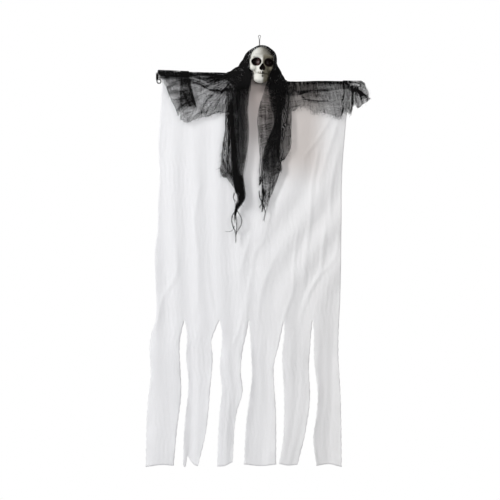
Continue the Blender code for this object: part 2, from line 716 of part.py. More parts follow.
# Across each tail, from the face's edge: line, share of the way to the next line, layer
LEFT_TAIL_PATH = (
    (0, 0.0, 4), (0, 0.5, 4), (0, 1.0, 4), (0, 1.0, 3), (0, 0.5, 3), (0, 0.06, 3), (0, 0.06, 2), (0, 0.5, 2),
    (0, 0.94, 2), (0, 0.94, 1), (0, 0.5, 1), (0, 0.12, 1), (0, 0.12, 0), (0, 0.5, 0), (1, 0.0, 0),
    (1, 0.5, 0), (1, 1.0, 0),
)
RIGHT_TAIL_PATH = (
    (0, 0.0, 4), (0, 0.5, 4), (1, 0.0, 4), (1, 0.5, 4), (1, 1.0, 4), (1, 1.0, 3), (1, 0.5, 3), (1, 0.06, 3),
    (1, 0.06, 2), (1, 0.5, 2), (1, 0.94, 2), (1, 0.94, 1), (1, 0.1, 1), (1, 0.1, 0), (1, 0.9, 0), (2, 0.5, 0),
    (2, 1.0, 0),
)
# How far each column of a tail stops short of its end
LEFT_TAIL_SHORT = ((0, 0.012), (8, 0.0), (13, 0.030), (14, 0.100), (15, 0.150), (16, 0.176))
RIGHT_TAIL_SHORT = ((0, 0.012), (4, 0.0), (10, 0.030), (14, 0.090), (15, 0.140), (16, 0.160))
LEFT_TAIL_HEIGHTS = (1.0, 0.90, 0.80, 0.68, 0.56, 0.44, 0.32, 0.20, 0.10)
RIGHT_TAIL_HEIGHTS = (1.0, 0.89, 0.78, 0.66, 0.54, 0.42, 0.30, 0.20, 0.11)
# Points across the head, from the face's edge to the edge that hangs behind the neck
HEAD_STATIONS = (
    ((-0.023, -0.030, -0.134), (-0.040, -0.024, -0.126), (-0.056, -0.018, -0.120),
     (-0.070, -0.014, -0.116), (-0.081, -0.011, -0.1135), (-0.089, -0.0100, -0.112)),
    ((-0.020, -0.029, -0.118), (-0.042, -0.019, -0.104), (-0.062, -0.012, -0.099),
     (-0.077, -0.006, -0.1005), (-0.085, -0.0025, -0.1030), (-0.090, 0.000, -0.1035)),
    ((-0.024, -0.028, -0.103), (-0.042, -0.0185, -0.092), (-0.060, -0.006, -0.089),
     (-0.073, 0.003, -0.095), (-0.080, 0.009, -0.104), (-0.083, 0.0105, -0.120)),
    ((-0.027, -0.028, -0.087), (-0.041, -0.017, -0.078), (-0.052, -0.003, -0.076),
     (-0.060, 0.012, -0.090), (-0.062, 0.016, -0.130), (-0.064, 0.013, -0.190)),
    ((-0.0290, -0.027, -0.070), (-0.037, -0.014, -0.064), (-0.043, 0.002, -0.062),
     (-0.046, 0.024, -0.074), (-0.045, 0.024, -0.140), (-0.047, 0.013, -0.242)),
    ((-0.0240, -0.027, -0.047), (-0.031, -0.012, -0.047), (-0.035, 0.012, -0.048),
     (-0.032, 0.040, -0.064), (-0.028, 0.038, -0.150), (-0.028, 0.015, -0.290)),
    ((0.0080, -0.026, -0.0345), (0.0078, -0.009, -0.0300), (0.0075, 0.012, -0.0295),
     (0.0075, 0.045, -0.050), (0.006, 0.047, -0.150), (0.004, 0.015, -0.305)),
    ((0.0360, -0.026, -0.050), (0.043, -0.010, -0.052), (0.047, 0.010, -0.056),
     (0.044, 0.038, -0.070), (0.038, 0.038, -0.155), (0.036, 0.015, -0.290)),
    ((0.0420, -0.026, -0.074), (0.047, -0.013, -0.072), (0.052, 0.004, -0.076),
     (0.055, 0.022, -0.088), (0.056, 0.022, -0.150), (0.057, 0.013, -0.240)),
    ((0.0360, -0.027, -0.092), (0.047, -0.018, -0.090), (0.057, -0.003, -0.093),
     (0.064, 0.011, -0.102), (0.067, 0.014, -0.135), (0.069, 0.012, -0.190)),
    ((0.0290, -0.028, -0.108), (0.044, -0.020, -0.106), (0.058, -0.009, -0.109),
     (0.068, 0.003, -0.115), (0.073, 0.010, -0.127), (0.075, 0.0105, -0.146)),
    ((0.0230, -0.029, -0.122), (0.040, -0.020, -0.119), (0.055, -0.013, -0.120),
     (0.066, -0.007, -0.122), (0.073, -0.0025, -0.1255), (0.077, 0.000, -0.1262)),
    ((0.0200, -0.030, -0.136), (0.036, -0.024, -0.134), (0.050, -0.018, -0.134),
     (0.062, -0.014, -0.134), (0.071, -0.011, -0.1345), (0.078, -0.0100, -0.135)),
)
# Share of the way across the head at each column: the columns lie closer over the skull
HEAD_SPREAD = tuple(0.035 * column for column in range(11)) + (0.39, 0.45, 0.55, 0.68, 0.83, 1)
TAIL_STEPS = 2
HEAD_STEPS = (2, 3, 3, 2, 2, 3, 5, 5, 3, 2, 2, 3, 3, 2)


def tail_row(lines, path, short, length, share):
    """One station of a tail, at a share of the way down it."""
    row = []
    top = lines[-1][0]
    for column, (line, between, layer) in enumerate(path):
        stop = length - value(short, column)
        height = top - share * (stop + top)
        edges = through(lines, height * lines[0][0] / -length if height < top else height)[0]
        x = edges[line] + between * (edges[line + 1] - edges[line])
        y = -TAIL_DEPTH - layer * LAYER_PITCH - TAIL_SWAY * math.sin(9 * share + 0.8 * column)
        row.append((x, y, NECK + height))
    return row


def clear_of_body(points):
    """Push hood points out until they clear the skull, the covered arms and the chest."""
    least = HOOD_CLEARANCE + GAUZE_CLOTH / 2
    nudge = 0.0005
    for _ in range(8):
        distance = skull_distance(points)
        slope = np.stack([skull_distance(points + nudge * axis) - distance for axis in np.eye(3)], axis=1)
        slope /= np.maximum(np.linalg.norm(slope, axis=1), 1e-9)[:, None]
        points = points + slope * np.maximum(least - distance, 0)[:, None]
    for point in points:
        arm = wire_height(point[0])
        lift = np.array((point[1], point[2] - arm))
        away = np.linalg.norm(lift)
        if away < SHOULDER_RADIUS:
            point[1:] += lift * (SHOULDER_RADIUS / away - 1)
        lowered = smooth_step(arm - point[2], 0.0, 0.016)
        front = SHOULDER_RADIUS + lowered * (CHEST_DEPTH - SHOULDER_RADIUS)
        back = SHOULDER_RADIUS + SLEEVE_BACK_STAND + lowered * FIT_GAP
        if point[2] < arm:
            point[1] = min(point[1], -front) if point[1] < 0 else max(point[1], back)
    return points


def read_across(station, spread):
    """Points at shares of the length of a smooth line through a station's points."""
    station = np.array(station)
    steps = np.insert(np.cumsum(np.linalg.norm(np.diff(station, axis=0), axis=1)), 0, 0.0)
    rows = [(step, *point) for step, point in zip(steps, station)]
    return through(rows, np.array(spread) * steps[-1])


def hood_grid():
    left = [
        tail_row(LEFT_TAIL_LINES, LEFT_TAIL_PATH, LEFT_TAIL_SHORT, LEFT_TAIL_LENGTH, share)
        for share in LEFT_TAIL_HEIGHTS
    ]
    right = [
        tail_row(RIGHT_TAIL_LINES, RIGHT_TAIL_PATH, RIGHT_TAIL_SHORT, RIGHT_TAIL_LENGTH, share)
        for share in RIGHT_TAIL_HEIGHTS
    ]
    columns = len(LEFT_TAIL_PATH)
    head = [read_across(station, HEAD_SPREAD) for station in HEAD_STATIONS]
    stations = np.array([*left, *head, *right[::-1]])
    spans = [TAIL_STEPS] * (len(left) - 1) + list(HEAD_STEPS) + [TAIL_STEPS] * (len(right) - 1)
    places = [number + step / steps for number, steps in enumerate(spans) for step in range(steps)]
    middle = stations[:, columns // 2]
    steps = np.insert(np.cumsum(np.linalg.norm(np.diff(middle, axis=0), axis=1)), 0, 0.0)
    flat = [(step, *station.reshape(-1)) for step, station in zip(steps, stations)]
    places = np.interp([*places, len(spans)], range(len(stations)), steps)
    return through(flat, places).reshape(len(places), columns, 3)


def hood():
    grid = hood_grid()
    points = clear_of_body(grid.reshape(-1, 3))
    gauze = material("hood_gauze", (0.03, 0.03, 0.03), 0.85)
    made = mesh_object("hood", points, grid_faces(*grid.shape[:2]), gauze)
    thicken(made, GAUZE_CLOTH)
    bpy.ops.mesh.primitive_cylinder_add(vertices=12, radius=HOOD_HOLE / 2, depth=0.02, location=(0, 0, CROWN))
    cutter = bpy.context.object
    cutter.name = "crown_hole_cutter"
    cutter.hide_render = True
    cutter.display_type = "WIRE"
    cut = made.modifiers.new("Crown hole", "BOOLEAN")
    cut.operation = "DIFFERENCE"
    cut.object = cutter
    return made


def clear_scene():
    for old in list(bpy.data.objects):
        bpy.data.objects.remove(old)


clear_scene()
arm_wire()
robe()
skull()
hanging_cord()
knot("wire_knot", NECK + WIRE_KNOT_RISE, WIRE_KNOT_HEIGHT)
knot("stopper_knot", under_crown() - STOPPER_KNOT_HEIGHT, STOPPER_KNOT_HEIGHT)
sleeve("sleeve_left", -1, LEFT_SLEEVE_PATH, LEFT_SLEEVE_HEM, LEFT_SLEEVE_END)
sleeve("sleeve_right", 1, RIGHT_SLEEVE_PATH, RIGHT_SLEEVE_HEM, RIGHT_SLEEVE_END)
hood()
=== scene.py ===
"""Hanging fabric ghost: a moulded skull and a white robe on an arm wire, dressed in black gauze.

Its looks, made round its solid model. Metres, +Z up, the face towards -Y. The origin is
the top of the hanging loop. Left and right are as seen from the front.
"""
import math

import bmesh
import bpy
import numpy as np
from mathutils import Matrix, Vector, noise


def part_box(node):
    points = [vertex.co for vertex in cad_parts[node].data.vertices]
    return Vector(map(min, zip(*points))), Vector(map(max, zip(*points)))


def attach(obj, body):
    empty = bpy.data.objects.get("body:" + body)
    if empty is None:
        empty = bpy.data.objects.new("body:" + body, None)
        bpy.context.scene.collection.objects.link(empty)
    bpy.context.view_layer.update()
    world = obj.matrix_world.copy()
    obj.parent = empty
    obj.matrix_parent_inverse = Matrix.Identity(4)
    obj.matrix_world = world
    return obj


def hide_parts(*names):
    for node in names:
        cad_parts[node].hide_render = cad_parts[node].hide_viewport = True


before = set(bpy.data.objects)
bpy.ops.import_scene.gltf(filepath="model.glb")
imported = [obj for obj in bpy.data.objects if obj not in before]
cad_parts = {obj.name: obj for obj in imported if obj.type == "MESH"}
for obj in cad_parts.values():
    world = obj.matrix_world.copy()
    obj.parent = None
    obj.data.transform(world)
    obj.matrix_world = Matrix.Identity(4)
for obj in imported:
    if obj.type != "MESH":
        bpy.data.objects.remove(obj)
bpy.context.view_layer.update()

# Camera
# A level camera straight in front of the ghost, far enough off for little perspective.
# The picture is 1.395 m wide at the wire, with its middle a little left of the cord.
PICTURE_WIDTH = 1.395
PICTURE_MIDDLE = (-0.0265, -0.600)
LENS = 85.0

camera_data = bpy.data.cameras.new("camera")
camera_data.lens = LENS
camera = bpy.data.objects.new("camera", camera_data)
camera_reach = PICTURE_WIDTH * LENS / camera_data.sensor_width
camera.location = (PICTURE_MIDDLE[0], -camera_reach, PICTURE_MIDDLE[1])
camera.rotation_euler = (math.radians(90), 0.0, 0.0)
bpy.context.scene.collection.objects.link(camera)
bpy.context.scene.camera = camera


# Hanging cord
# One length of thin black three-ply cord. It is a sling under the arm wire, goes up
# through the skull as two strands and ends in a loop above the crown.
CORD_DIAMETER = 0.0015
STRAND_GAP = 0.0004
LOOP_WIDTH = 0.0060
LOOP_HEIGHT = 0.0100
CORD_PLIES = 3
CORD_LAY = 0.0042
PLY_SHARE = 0.54
WIRE_DIAMETER = 0.003
NECK = -0.121
FIT_GAP = 0.0003
WIRE_KNOT = (NECK + 0.0080, 0.0066)
KNOT_TURNS = 3
CORD_BLACK = (0.006, 0.006, 0.007)
CORD_GREY = (0.024, 0.023, 0.024)

cord_radius = CORD_DIAMETER / 2
strand_offset = cord_radius + STRAND_GAP / 2
wire_radius = WIRE_DIAMETER / 2


class Value:
    """A number from a node's socket that works in Python expressions."""

    def __init__(self, paint, socket):
        self.paint = paint
        self.socket = socket

    def math(self, operation, *values):
        return self.paint.node("Math", {"operation": operation}, dict(enumerate(values)))

    def __add__(self, other):
        return self.math("ADD", self, other)

    __radd__ = __add__

    def __sub__(self, other):
        return self.math("SUBTRACT", self, other)

    def __rsub__(self, other):
        return self.math("SUBTRACT", other, self)

    def __mul__(self, other):
        return self.math("MULTIPLY", self, other)

    __rmul__ = __mul__

    def __truediv__(self, other):
        return self.math("DIVIDE", self, other)

    def __pow__(self, other):
        return self.math("POWER", self, other)

    def fraction(self):
        return self.math("FRACT", self)

    def whole(self):
        return self.math("FLOOR", self)

    def size(self):
        return self.math("ABSOLUTE", self)

    def sine(self):
        return self.math("SINE", self)

    def over(self, other):
        return self.math("GREATER_THAN", self, other)

    def least(self, other):
        return self.math("MINIMUM", self, other)

    def most(self, other):
        return self.math("MAXIMUM", self, other)

    def eased(self, low, high):
        """0 below low, 1 above high and smooth between them."""
        inputs = {"Value": self, "From Min": low, "From Max": high}
        return self.paint.node("MapRange", {"interpolation_type": "SMOOTHSTEP"}, inputs)


class Paint:
    """One procedural material, with a Principled surface."""

    def __init__(self, name, **constants):
        self.material = bpy.data.materials.new(name)
        self.material.use_nodes = True
        self.tree = self.material.node_tree
        self.surface = self.tree.nodes["Principled BSDF"]
        for key, constant in constants.items():
            self.surface.inputs[key.replace("_", " ")].default_value = constant

    def node(self, kind, settings, inputs, output=0):
        """A node of that kind: its settings first, then the values or links of its sockets."""
        made = self.tree.nodes.new("ShaderNode" + kind)
        for key, setting in settings.items():
            setattr(made, key, setting)
        for key, given in inputs.items():
            socket = made.inputs[key]
            if isinstance(given, Value):
                self.tree.links.new(given.socket, socket)
            elif isinstance(given, tuple) and len(given) == 3 and socket.type == "RGBA":
                socket.default_value = (*given, 1.0)
            else:
                socket.default_value = given
        return Value(self, made.outputs[output])

    def place(self):
        return self.node("TexCoord", {}, {}, "Object")

    def along_cloth(self):
        return self.node("UVMap", {"uv_map": "cloth"}, {})

    def attribute(self, name):
        return self.node("Attribute", {"attribute_name": name}, {}, "Fac")

    def parts(self, vector):
        return [self.node("SeparateXYZ", {}, {"Vector": vector}, axis) for axis in "XYZ"]

    def stretched(self, vector, scale):
        return self.node("VectorMath", {"operation": "MULTIPLY"}, {0: vector, 1: scale})

    def clouds(self, vector, scale, detail=3.0):
        inputs = {"Vector": vector, "Scale": scale, "Detail": detail}
        return self.node("TexNoise", {}, inputs, "Fac")

    def blend(self, share, first, second, way="MIX"):
        settings = {"data_type": "RGBA", "blend_type": way}
        return self.node("Mix", settings, {"Factor": share, 6: first, 7: second}, 2)

    def darken(self, share, first, second):
        return self.blend(share, first, second, "MULTIPLY")

    def relief(self, height, depth, finer=None):
        inputs = {"Height": height, "Distance": depth}
        if finer is not None:
            inputs["Normal"] = finer
        return self.node("Bump", {}, inputs)

    def feed(self, socket, given):
        self.tree.links.new(given.socket, self.surface.inputs[socket])

    def mix_in(self, shader, colour, share):
        """A second, plain shader of one colour, mixed with the Principled surface."""
        first = Value(self, self.surface.outputs[0])
        second = self.node(shader, {}, {"Color": colour})
        mixed = self.node("MixShader", {}, {"Fac": share, 1: first, 2: second})
        self.tree.links.new(mixed.socket, self.tree.nodes["Material Output"].inputs["Surface"])


def through(points, places):
    """A smooth curve through (place, value, ...) points, read at the places asked for."""
    known = np.array([point[0] for point in points], dtype=float)
    values = np.array([point[1:] for point in points], dtype=float)
    slopes = np.gradient(values, known, axis=0)
    places = np.clip(np.atleast_1d(places), known[0], known[-1])
    span = np.clip(np.searchsorted(known, places) - 1, 0, len(known) - 2)
    width = (known[span + 1] - known[span])[:, None]
    way = (places - known[span])[:, None] / width
    left = 1 - way
    start = values[span] * (1 + 2 * way) * left ** 2 + slopes[span] * width * way * left ** 2
    end = values[span + 1] * way * way * (3 - 2 * way) - slopes[span + 1] * width * way * way * left
    return start + end


def run_of(points):
    """Each point's distance along the line through all of them."""
    steps = np.linalg.norm(np.diff(points, axis=0), axis=1)
    return np.insert(np.cumsum(steps), 0, 0.0)


def along(points, spacing):
    """Points about spacing apart on a smooth line through the given points."""
    points = np.array(points, dtype=float)
    run = run_of(points)
    count = max(2, math.ceil(run[-1] / spacing) + 1)
    return through(np.column_stack([run, points]), np.linspace(0, run[-1], count))


def finished(mesh_tools, name, paint):
    """A bmesh made into a piece that rides on the ghost."""
    mesh = bpy.data.meshes.new(name)
    mesh_tools.to_mesh(mesh)
    mesh_tools.free()
    mesh.shade_smooth()
    mesh.materials.append(paint.material)
    piece = bpy.data.objects.new(name, mesh)
    bpy.context.scene.collection.objects.link(piece)
    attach(piece, "root")
    return piece


def across_route(route):
    """At each point of a route: the way ahead, and the two ways across it, without twist."""
    heading = np.gradient(route, axis=0)
    heading /= np.linalg.norm(heading, axis=1)[:, None]
    side = Vector(heading[0]).orthogonal().normalized()
    sides = []
    for ahead in heading:
        ahead = Vector(ahead)
        side = (side - ahead * side.dot(ahead)).normalized()
        sides.append(side)
    sides = np.array(sides)
    return heading, sides, np.cross(heading, sides)


def add_tube(mesh_tools, route, radius, sides):
    """A round tube with closed ends along the route; radius may taper from point to point."""
    radii = np.broadcast_to(radius, len(route)).astype(float)
    ends = (0, len(route) - 1)
    verts = []
    rings = []
    for number, (point, ahead, side, up) in enumerate(zip(route, *across_route(route))):
        place = Matrix.Translation(point) @ Matrix((side, up, ahead)).transposed().to_4x4()
        verts += bmesh.ops.create_circle(
            mesh_tools, cap_ends=number in ends, segments=sides, radius=radii[number], matrix=place,
        )["verts"]
        rings.append(dict.fromkeys(edge for vert in verts[-sides:] for edge in vert.link_edges))
    for low, high in zip(rings, rings[1:]):
        bmesh.ops.bridge_loops(mesh_tools, edges=[*low, *high])
    skin = dict.fromkeys(face for vert in verts for face in vert.link_faces)
    bmesh.ops.recalc_face_normals(mesh_tools, faces=list(skin))


def add_cord(mesh_tools, route):
    """A twisted cord: each ply is a thin tube wound round the route."""
    _, sides, ups = across_route(route)
    run = run_of(route)
    ply_radius = cord_radius * PLY_SHARE
    for ply in range(CORD_PLIES):
        turn = 2 * math.pi * (run / CORD_LAY + ply / CORD_PLIES)
        out = np.cos(turn)[:, None] * sides + np.sin(turn)[:, None] * ups
        add_tube(mesh_tools, route + out * (cord_radius - ply_radius), ply_radius, 7)


def cord_black():
    paint = Paint("black_cord", Roughness=0.85, Specular_IOR_Level=0.05)
    fibre = paint.clouds(paint.place(), 2200.0)
    paint.feed("Base Color", paint.blend(fibre, CORD_BLACK, CORD_GREY))
    paint.feed("Normal", paint.relief(fibre, 0.0001))
    return paint


def cord_strand():
    """One strand, from under the wire to the top of the loop."""
    bend = wire_radius + FIT_GAP + cord_radius
    knot_low, knot_height = WIRE_KNOT
    turn_low = knot_low + knot_height + 0.010
    turn_high = turn_low + 0.034
    middle = (turn_low + turn_high) / 2
    loop = LOOP_WIDTH / 2
    return [
        (0.0, 0.0, NECK - bend),
        (0.0, -0.72 * bend, NECK - 0.72 * bend),
        (0.0, -bend, NECK + 0.0004),
        (0.0, -(bend + strand_offset) / 2, NECK + 0.0040),
        (0.0, -strand_offset, knot_low - 0.0008),
        (0.0, -strand_offset, knot_low + knot_height / 2),
        (0.0, -strand_offset, turn_low),
        (strand_offset * math.sin(0.79), -strand_offset * math.cos(0.79), middle),
        (strand_offset, 0.0, turn_high),
        (strand_offset, 0.0, -LOOP_HEIGHT - 0.020),
        (strand_offset, 0.0, -LOOP_HEIGHT - 0.003),
        (0.55 * loop + 0.45 * strand_offset, 0.0, -0.70 * LOOP_HEIGHT),
        (loop, 0.0, -0.42 * LOOP_HEIGHT),
        (0.72 * loop, 0.0, -0.12 * LOOP_HEIGHT - cord_radius),
        (0.0, 0.0, -cord_radius),
    ]


def hanging_cord(paint):
    up = cord_strand()
    back = [(-x, -y, z) for x, y, z in up]
    knot_middle = WIRE_KNOT[0] + WIRE_KNOT[1] / 2
    start = (0.0, strand_offset, knot_middle - 0.0005)
    end = (0.0, strand_offset, knot_middle + 0.0005)
    route = along([start, *back[4:0:-1], *up, *back[-2:5:-1], end], 0.0004)
    mesh_tools = bmesh.new()
    add_cord(mesh_tools, route)
    cord = finished(mesh_tools, "hanging_cord_plied", paint)
    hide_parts("hanging_cord")


def wound_knot(name, node, paint):
    """The cord's own turns round its two strands."""
    low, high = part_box(node)
    rise = high.z - low.z - CORD_DIAMETER
    radius = strand_offset + cord_radius + FIT_GAP + cord_radius
    angles = np.linspace(0, 2 * math.pi * KNOT_TURNS, 40 * KNOT_TURNS)
    height = low.z + cord_radius + rise * angles / angles[-1]
    coil = np.column_stack([radius * np.cos(angles), radius * np.sin(angles), height])
    mesh_tools = bmesh.new()
    add_cord(mesh_tools, coil)
    knot = finished(mesh_tools, name, paint)
    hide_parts(node)


cord_paint = cord_black()
wound_knot("wire_knot_wound", "wire_knot", cord_paint)
wound_knot("stopper_knot_wound", "stopper_knot", cord_paint)
hanging_cord(cord_paint)


# Arm wire
# One length of black annealed iron wire, 3 mm thick, bent by hand: it dips at the neck
# and is turned to an open eye at each end.
LEFT_SPAN = 0.286
RIGHT_SPAN = 0.282
EYE_DIAMETER = 0.011
LEFT_STEM = 0.026
EYE_OPENING = math.radians(76)
LEFT_ARM_LINE = ((0.0, 0.0), (0.31, 0.011), (0.62, 0.0135), (0.95, 0.0175))
RIGHT_ARM_LINE = ((0.0, 0.0), (0.28, -0.012), (0.60, -0.011), (0.95, -0.0125))
ARM_END = 0.95
IRON_BLACK = (0.008, 0.008, 0.009)
IRON_WORN = (0.040, 0.036, 0.033)


def wire_height(x):
    """Heights of the wire's middle at each x."""
    x = np.atleast_1d(x).astype(float)
    left = through(LEFT_ARM_LINE, -x / LEFT_SPAN)[:, 0]
    right = through(RIGHT_ARM_LINE, x / RIGHT_SPAN)[:, 0]
    return NECK + np.where(x < 0, left, right)


def eye_arc(centre_x, centre_z, start, turn):
    sweep = turn * (2 * math.pi - EYE_OPENING)
    angles = [start + sweep * step / 14 for step in range(15)]
    radius = EYE_DIAMETER / 2
    return [
        (centre_x + radius * math.cos(angle), 0.0, centre_z + radius * math.sin(angle)) for angle in angles
    ]


def arm_wire():
    stem_top = wire_height(-ARM_END * LEFT_SPAN)[0]
    left_eye = eye_arc(-LEFT_SPAN + EYE_DIAMETER / 2, stem_top - LEFT_STEM, math.pi, 1)
    bend = [
        (-LEFT_SPAN, 0.0, stem_top - 0.45 * LEFT_STEM),
        (-LEFT_SPAN + 0.0015, 0.0, stem_top - 0.0060),
        (-LEFT_SPAN + 0.0060, 0.0, stem_top - 0.0012),
    ]
    out = np.sin(np.linspace(0, math.pi / 2, 10))
    spans = [*(-ARM_END * LEFT_SPAN * out[::-1]), *((ARM_END * RIGHT_SPAN - EYE_DIAMETER / 2) * out[1:])]
    arms = [(x, 0.0, wire_height(x)[0]) for x in spans]
    right_z = wire_height(ARM_END * RIGHT_SPAN)[0] - 0.0012 - EYE_DIAMETER / 2
    right_eye = eye_arc(RIGHT_SPAN - EYE_DIAMETER / 2, right_z, math.pi / 2, -1)
    mesh_tools = bmesh.new()
    add_tube(mesh_tools, along([*left_eye[::-1], *bend, *arms, *right_eye], 0.0012), wire_radius, 16)
    paint = Paint("black_iron", Metallic=0.15, Specular_IOR_Level=0.3)
    scale = paint.clouds(paint.place(), 420.0, detail=5.0)
    worn = scale.eased(0.56, 0.72)
    paint.feed("Base Color", paint.blend(worn, IRON_BLACK, IRON_WORN))
    paint.feed("Roughness", 0.52 - 0.16 * worn)
    paint.feed("Normal", paint.relief(scale, 0.0001))
    wire = finished(mesh_tools, "arm_wire_bent", paint)
    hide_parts("arm_wire")


arm_wire()


# Robe
# One sheet of thin white woven polyester. Its top is folded back over the wire as a
# casing, its lower third is cut into six strips, and no edge is hemmed.
ROBE_CLOTH = 0.0003
ROBE_LENGTH = 1.084
ROBE_LEFT = 0.271
ROBE_RIGHT = 0.250
SLIT_LENGTH = 0.410
CASING_HEM = 0.022
CASING_RADIUS = 0.00265
NOTCH_WIDTH = 0.026
NOTCH_DEPTH = 0.014
SLANTED_FOLD = 0.0024
SLANTED_PITCH = 0.094
SLANTED_SWEEP = 0.25
UPRIGHT_FOLD = 0.0014
UPRIGHT_PITCH = 0.062
STRIP_CURL = 0.0050
STRIP_PLEAT = 0.0005
STRIP_FLUTTER = 0.0014
# Small wrinkles: their pitch, their reach, where they start and their height
WRINKLES = ((0.0040, 0.055, 0.31, 0.00015), (0.0071, 0.083, 1.70, 0.00021), (0.0123, 0.140, 4.10, 0.00030))
THREADS_PER_METRE = 2400.0
TRANSLUCENCE = 0.26
ROBE_WHITE = (0.905, 0.905, 0.920)
ROBE_DULL = (0.870, 0.873, 0.888)
# Painted shade: the robe's colour towards its right side, away from the key light
ROBE_RIGHT_SHADE = (0.835, 0.828, 0.826)
ROBE_BEHIND = (0.90, 0.90, 0.91)
TAIL_SHADE = (0.745, 0.690, 0.655)
CHIN_SHADE = (0.60, 0.51, 0.47)
# Share of the length, and how far the side edge has moved to the right
LEFT_EDGE = (
    (0.0, 0.0), (0.107, -0.006), (0.184, -0.011), (0.262, -0.007), (0.313, -0.011), (0.403, -0.014),
    (0.442, -0.02), (0.519, -0.019), (0.595, -0.016), (0.622, -0.018), (0.655, -0.03), (0.776, -0.033),
    (0.828, -0.04), (1.0, -0.046),
)
RIGHT_EDGE = (
    (0.0, 0.0), (0.107, -0.009), (0.21, -0.018), (0.416, -0.022), (0.57, -0.025), (0.673, -0.03),
    (0.712, -0.03), (0.802, -0.025), (0.905, -0.022), (1.0, -0.021),
)
# Each slit: its top's distance from the neck, then its two lips as the share of the slit's
# length and the distance from the top
SLITS = (
    (-0.2093,
     ((0, 0), (0.068, -0.007), (0.136, -0.012), (0.34, -0.011), (0.48, -0.009), (0.75, -0.021), (1, -0.03)),
     ((0, 0), (0.068, 0.006), (0.27, 0.005), (0.41, 0.011), (0.54, 0.008), (0.7, 0.001), (1, -0.004))),
    (-0.1116,
     ((0, 0), (0.068, -0.012), (0.136, -0.022), (0.25, -0.019), (0.44, -0.025), (0.78, -0.039), (1, -0.06)),
     ((0, 0), (0.068, 0.006), (0.204, 0.005), (0.32, 0.001), (0.476, 0.007), (0.612, 0.001), (1, -0.007))),
    (-0.0293,
     ((0, 0), (0.068, -0.005), (0.215, -0.018), (0.349, -0.023), (0.49, -0.018), (0.62, -0.033), (1, -0.046)),
     ((0, 0), (0.068, 0.002), (0.148, 0.004), (0.416, 0.007), (0.55, 0.0), (0.685, -0.007), (1, -0.014))),
    (0.0684,
     ((0, 0), (0.068, -0.006), (0.164, -0.014), (0.3, -0.028), (0.43, -0.028), (0.56, -0.024), (1, -0.022)),
     ((0, 0), (0.068, 0.001), (0.23, -0.005), (0.493, 0.0), (0.69, 0.0), (0.822, -0.003), (1, -0.014))),
    (0.1479,
     ((0, 0), (0.068, -0.003), (0.192, -0.007), (0.325, -0.01), (0.52, -0.007), (0.79, -0.022), (1, -0.042)),
     ((0, 0), (0.068, 0.003), (0.258, 0.004), (0.523, 0.014), (0.656, 0.01), (0.788, 0.002), (1, 0.011))),
)
# Each strip's hem: the share of its width, and how far the cloth stops short
HEMS = (
    ((0, 0.0), (0.5, 0.006), (1, 0.004)),
    ((0, 0.006), (0.18, 0.002), (0.3, 0.03), (0.42, 0.022), (0.75, 0.006), (1, 0.003)),
    ((0, 0.001), (0.5, 0.003), (1, 0.013)),
    ((0, 0.008), (0.5, 0.003), (1, 0.008)),
    ((0, 0.009), (0.5, 0.004), (1, 0.006)),
    ((0, 0.003), (0.5, 0.007), (1, 0.0)),
)
# Creases that the cloth is drawn into: height, width, then (x, z) points from top to bottom
CREASES = (
    (0.0012, 0.007, ((-0.169, -0.421), (-0.183, -0.516), (-0.173, -0.628), (-0.1755, -0.739))),
    (0.0016, 0.008, ((-0.233, -0.6), (-0.236, -0.672), (-0.269, -0.728), (-0.289, -0.812))),
    (0.001, 0.006, ((-0.1465, -0.64), (-0.141, -0.717), (-0.127, -0.784))),
    (0.0014, 0.006, ((0.0153, -0.566), (-0.007, -0.594), (-0.0237, -0.661), (-0.035, -0.717),
                     (-0.0516, -0.795), (-0.074, -0.865))),
    (0.0014, 0.005, ((-0.0237, -0.69), (-0.0377, -0.784), (-0.046, -0.837))),
    (0.0012, 0.006, ((-0.0265, -0.56), (-0.0405, -0.605), (-0.057, -0.66))),
    (0.0014, 0.006, ((0.043, -0.62), (0.0098, -0.695), (-0.007, -0.79))),
    (0.0018, 0.007, ((0.163, -0.321), (0.1437, -0.427), (0.138, -0.527), (0.127, -0.605), (0.121, -0.69))),
    (0.002, 0.007, ((0.1827, -0.53), (0.177, -0.572), (0.166, -0.661), (0.1325, -0.728), (0.113, -0.785))),
    (0.0018, 0.008, ((0.216, -0.243), (0.183, -0.343), (0.163, -0.4185))),
    (0.0016, 0.007, ((0.197, -0.232), (0.158, -0.293), (0.121, -0.343))),
    (0.0016, 0.006, ((0.102, -0.572), (0.0935, -0.6445), (0.0907, -0.717), (0.071, -0.773), (0.06, -0.837))),
    (0.0018, 0.006, ((0.219, -0.558), (0.205, -0.628), (0.166, -0.672), (0.1325, -0.7226))),
    (0.0016, 0.008, ((0.219, -0.321), (0.1995, -0.4045), (0.194, -0.51))),
)
STRIP_COLUMNS = 22
CASING_ROWS = 16
UPPER_ROWS = 120
LOWER_ROWS = 84

slit_top = 1 - SLIT_LENGTH / ROBE_LENGTH


def smooth_step(x, low, high):
    way = np.clip((x - low) / (high - low), 0.0, 1.0)
    return way * way * (3 - 2 * way)


def robe_lips(down):
    """For each share of the length, the left and right x of all six strips."""
    left = -ROBE_LEFT + through(LEFT_EDGE, down)[:, 0]
    right = ROBE_RIGHT + through(RIGHT_EDGE, down)[:, 0]
    apex_left = -ROBE_LEFT + through(LEFT_EDGE, slit_top)[0, 0]
    apex_right = ROBE_RIGHT + through(RIGHT_EDGE, slit_top)[0, 0]
    below = np.clip((down - slit_top) / (1 - slit_top), 0.0, 1.0)
    starts = [left]
    ends = []
    for top, left_lip, right_lip in SLITS:
        share = (top - apex_left) / (apex_right - apex_left)
        whole = left + share * (right - left)
        ends.append(np.where(down <= slit_top, whole, top + through(left_lip, below)[:, 0]))
        starts.append(np.where(down <= slit_top, whole, top + through(right_lip, below)[:, 0]))
    return np.array(starts), np.array([*ends, right])


